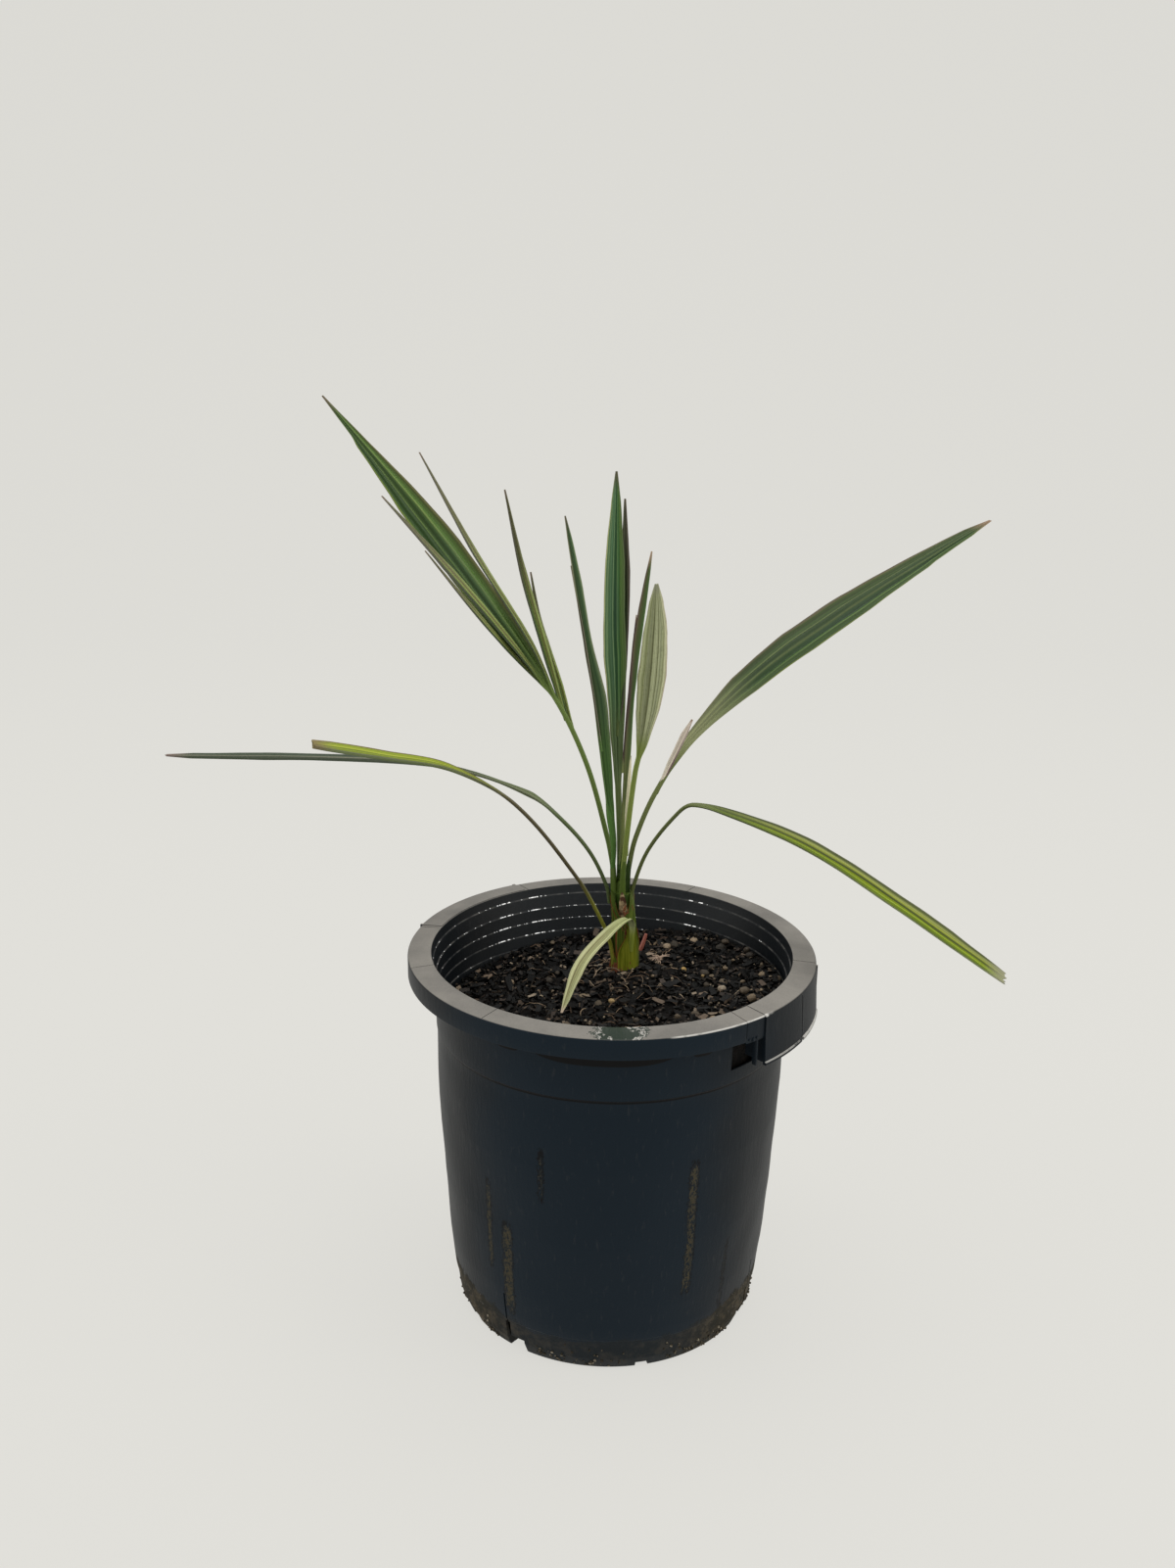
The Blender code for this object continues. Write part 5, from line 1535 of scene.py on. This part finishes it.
def add_core(shape):
    """Add the core of the stem base to a bmesh, with the feet of the stalks that grow out of its top."""
    bmesh.ops.create_cone(shape, cap_ends=True, segments=32, radius1=CORE_RADII[0], radius2=CORE_RADII[1],
                          depth=CORE_HEIGHT, matrix=Matrix.Translation(STEM_MIDDLE))
    for blades in LEAVES.values():
        top, above = (Vector(point) for point in blades[0].spine[:2])
        if top.z > CORE_TOP:
            foot = STALK_ROOT.lerp(Vector((top.x, top.y, STALK_ROOT.z)), 0.75)
            tube(shape, [foot, foot.lerp(top, 0.6), top, top.lerp(above, 0.5)], (2.4, 2.0, 1.8, 1.3), 12)


def sheath_fibres():
    """Short red-brown fibres that fray from the foot of the stem, and papery scraps in its forks."""
    draw = random.Random(FIBRE_SEED)
    shape = bmesh.new()
    for number in range(FIBRE_COUNT):
        azimuth = draw.gauss(-118, 26) if number < FIBRES_IN_FRONT else draw.uniform(-180, 180)
        low = 205 + draw.uniform(0, 3)
        points = []
        for step in range(4):
            out = 8.6 + 0.5 * step + draw.uniform(-0.4, 0.6)
            height = low + draw.uniform(2.2, 3.6) * (3 - step) - 1.5
            points.append(FIBRE_MIDDLE + direction(azimuth + 4 * step) * out + Vector((0, 0, height)))
        thick = draw.uniform(0.2, 0.42)
        tube(shape, points, [thick * part for part in FRAY], 5)
    for number in range(SCRAP_COUNT):
        azimuth = draw.choice(SCRAP_FORKS) + draw.uniform(-7, 7)
        start = FIBRE_MIDDLE + direction(azimuth) * 8.0 + Vector((0, 0, draw.uniform(229, 252)))
        points = [start]
        for step in range(3):
            points.append(points[-1] + Vector((draw.uniform(-1, 1), draw.uniform(-0.6, 0.3),
                                               draw.uniform(0.4, 2.2))))
        thick = draw.uniform(0.25, 0.5)
        tube(shape, points, [thick * part for part in FRAY], 5)
    bmesh.ops.recalc_face_normals(shape, faces=shape.faces)
    return shape


class PALM_OT_fronds(Operator):
    """Make the ten leaves, each with its stalk and pleats, and some with leaflets"""

    bl_idname = "palm.make_fronds"
    bl_label = "Leaves"

    def execute(self, context):
        for number, (name, blades) in enumerate(LEAVES.items()):
            look = LEAF_LOOKS[name]
            shape = bmesh.new()
            for place, blade in enumerate(blades):
                leaf_shell(shape, blade, number * 7 + place)
            bmesh.ops.recalc_face_normals(shape, faces=shape.faces)
            leaf = name.replace("frond", "leaf")
            add_piece(leaf, shape, leaf_material(leaf, look), name, sharp=60)
        return {"FINISHED"}


class PALM_OT_mud_and_drops(Operator):
    """Stick crumbs of dried mud to the foot of the pot and glowing drops, which paint glints, to its ledges
    """

    bl_idname = "palm.add_dirt"
    bl_label = "Mud crumbs and drops"

    def execute(self, context):
        draw = random.Random(DIRT_SEED)
        finish = mix_material("mud_crumbs", MUD_TONES, 0.9)
        add_piece("mud_crumbs", mud_crumbs(draw), finish)
        add_piece("glint_drops", glint_drops(draw), glint_material())
        return {"FINISHED"}


def mud_crumbs(draw):
    """Crumbs of dried mud on the foot of the wall, clear of the slots and notches."""
    lumps = [lump(f"mud_{number}", 1, 0.6, draw) for number in range(5)]
    placed = []
    for number in range(MUD_CRUMBS):
        height = abs(draw.gauss(0, 6)) + 1.2
        if height > MUD_CRUMBS_TOP:
            continue
        azimuth = draw.uniform(-180, 180)
        if any(abs(azimuth - cut[0]) < CUT_CLEAR for cut in DRAIN_SLOTS + NOTCHES):
            continue
        size = draw.uniform(0.3, 1.1)
        spot = direction(azimuth) * (wall_radius(height) + 0.1) + Vector((0, 0, height))
        placed.append((draw.choice(lumps), Matrix.Translation(spot) @ Matrix.Scale(size, 4)))
    return batch(placed)


def glint_drops(draw):
    """Glowing drops that paint glints, in columns and fine ones between them, drawn out along the ledges in
    the mouth.
    """
    drop = lump("drop", 2, 0.1, draw)
    placed = []
    for azimuth, spread, ledges, count in GLINTS:
        for ledge in range(ledges):
            for number in range(count):
                long = draw.uniform(0.3, 1.1) if number else 1.6
                placed.append((drop, drop_matrix(draw.gauss(azimuth, spread / 2), ledge, long, 0.36)))
    for number in range(FINE_DROPS):
        ledge = draw.randrange(LEDGE_COUNT)
        azimuth = draw.gauss(FINE_DROPS_MIDDLE, FINE_DROPS_SPREAD)
        placed.append((drop, drop_matrix(azimuth, ledge, draw.uniform(0.25, 0.8), 0.16)))
    return batch(placed)


def drop_matrix(azimuth, ledge, long, thick):
    """Place and size of a drop drawn out along a ledge inside the pot's mouth."""
    height = LEDGE_TOP - LEDGE_PITCH * ledge
    away = direction(azimuth) * (wall_radius(height) - WALL)
    turn = Matrix.Rotation(math.radians(azimuth), 4, "Z")
    place = Matrix.Translation(away + Vector((0, 0, height + thick / 2)))
    return place @ turn @ Matrix.Diagonal((thick, long, thick, 1))


class PALM_OT_stage(Operator):
    """Set up the pale floor with its curved backdrop, the soft studio lights and the camera"""

    bl_idname = "palm.set_stage"
    bl_label = "Stage"

    def execute(self, context):
        settings = context.scene.palm_stage
        make_backdrop(settings.backdrop)
        world = context.scene.world or bpy.data.worlds.new("studio")
        context.scene.world = world
        world.use_nodes = True
        sky = world.node_tree.nodes["Background"].inputs
        sky["Color"].default_value = (*settings.backdrop, 1)
        sky["Strength"].default_value = WORLD_STRENGTH
        for light in LIGHTS:
            softbox(*light)
        lens = bpy.data.cameras.new("camera")
        lens.lens = settings.lens
        lens.clip_start = 0.01
        camera = bpy.data.objects.new("camera", lens)
        context.scene.collection.objects.link(camera)
        camera.matrix_world = (Matrix.Translation(settings.camera)
                               @ Matrix.Rotation(math.pi / 2 - settings.tilt, 4, "X")
                               @ Matrix.Rotation(settings.roll, 4, "Z"))
        context.scene.camera = camera
        context.scene.view_settings.view_transform = "Standard"
        return {"FINISHED"}


def make_backdrop(colour):
    """Pale floor that curves up into a wall behind the part."""
    shape = bmesh.new()
    profile = [(-PAPER_HALF, 0.0), (PAPER_LEVEL, 0.0)]
    for angle in range(6, 91, 6):
        turn = math.radians(angle)
        profile.append((PAPER_LEVEL + PAPER_BEND * math.sin(turn), PAPER_BEND - PAPER_BEND * math.cos(turn)))
    profile.append((PAPER_LEVEL + PAPER_BEND, PAPER_TOP))
    verts = [shape.verts.new((-PAPER_HALF, y, z)) for y, z in profile]
    edges = [shape.edges.new(pair) for pair in zip(verts, verts[1:])]
    grown = bmesh.ops.extrude_edge_only(shape, edges=edges)["geom"]
    moved = [item for item in grown if isinstance(item, bmesh.types.BMVert)]
    bmesh.ops.translate(shape, verts=moved, vec=(2 * PAPER_HALF, 0, 0))
    mesh = bpy.data.meshes.new("backdrop")
    shape.to_mesh(mesh)
    shape.free()
    mesh.shade_smooth()
    paper = Finish("backdrop_paper", Roughness=1.0, Specular_IOR_Level=0.0, Emission_Strength=PAPER_GLOW)
    paper.shader.inputs["Base Color"].default_value = (*(part * PAPER_SHADE for part in colour), 1)
    paper.shader.inputs["Emission Color"].default_value = (*colour, 1)
    mesh.materials.append(paper.material)
    backdrop = bpy.data.objects.new("backdrop", mesh)
    bpy.context.scene.collection.objects.link(backdrop)


def softbox(name, place, aim, size, power, colour):
    """A square area light that looks at a point."""
    light = bpy.data.lights.new(name, "AREA")
    light.shape = "SQUARE"
    light.size = size
    light.energy = power
    light.color = colour
    lamp = bpy.data.objects.new(name, light)
    lamp.location = place
    lamp.rotation_euler = (Vector(aim) - Vector(place)).to_track_quat("-Z", "Y").to_euler()
    bpy.context.scene.collection.objects.link(lamp)


class PALM_PT_panel(Panel):
    """Lists the pieces of the potted palm and their settings."""

    bl_idname = "PALM_PT_panel"
    bl_label = "Potted date palm"
    bl_space_type = "VIEW_3D"
    bl_region_type = "UI"
    bl_category = "Palm"

    def draw(self, context):
        for operator in OPERATORS:
            self.layout.operator(operator.bl_idname)
        for group in SETTINGS:
            box = self.layout.box()
            for setting in SETTINGS[group].__annotations__:
                box.prop(getattr(context.scene, group), setting)


OPERATORS = (PALM_OT_pot, PALM_OT_soil, PALM_OT_bark, PALM_OT_pebbles, PALM_OT_roots, PALM_OT_crown,
             PALM_OT_fronds, PALM_OT_mud_and_drops, PALM_OT_stage)
SETTINGS = {"palm_pot": PalmPotSettings, "palm_mix": PalmMixSettings, "palm_stage": PalmStageSettings}


def register():
    """Add the settings, operators and panel to Blender."""
    for group, kind in SETTINGS.items():
        bpy.utils.register_class(kind)
        setattr(bpy.types.Scene, group, PointerProperty(type=kind))
    for kind in (*OPERATORS, PALM_PT_panel):
        bpy.utils.register_class(kind)


def unregister():
    """Take them away again."""
    for kind in (PALM_PT_panel, *reversed(OPERATORS)):
        bpy.utils.unregister_class(kind)
    for group, kind in SETTINGS.items():
        delattr(bpy.types.Scene, group)
        bpy.utils.unregister_class(kind)


def main():
    """Make every piece and the stage."""
    register()
    for operator in OPERATORS:
        group, action = operator.bl_idname.split(".")
        getattr(getattr(bpy.ops, group), action)()


if __name__ == "__main__":
    main()
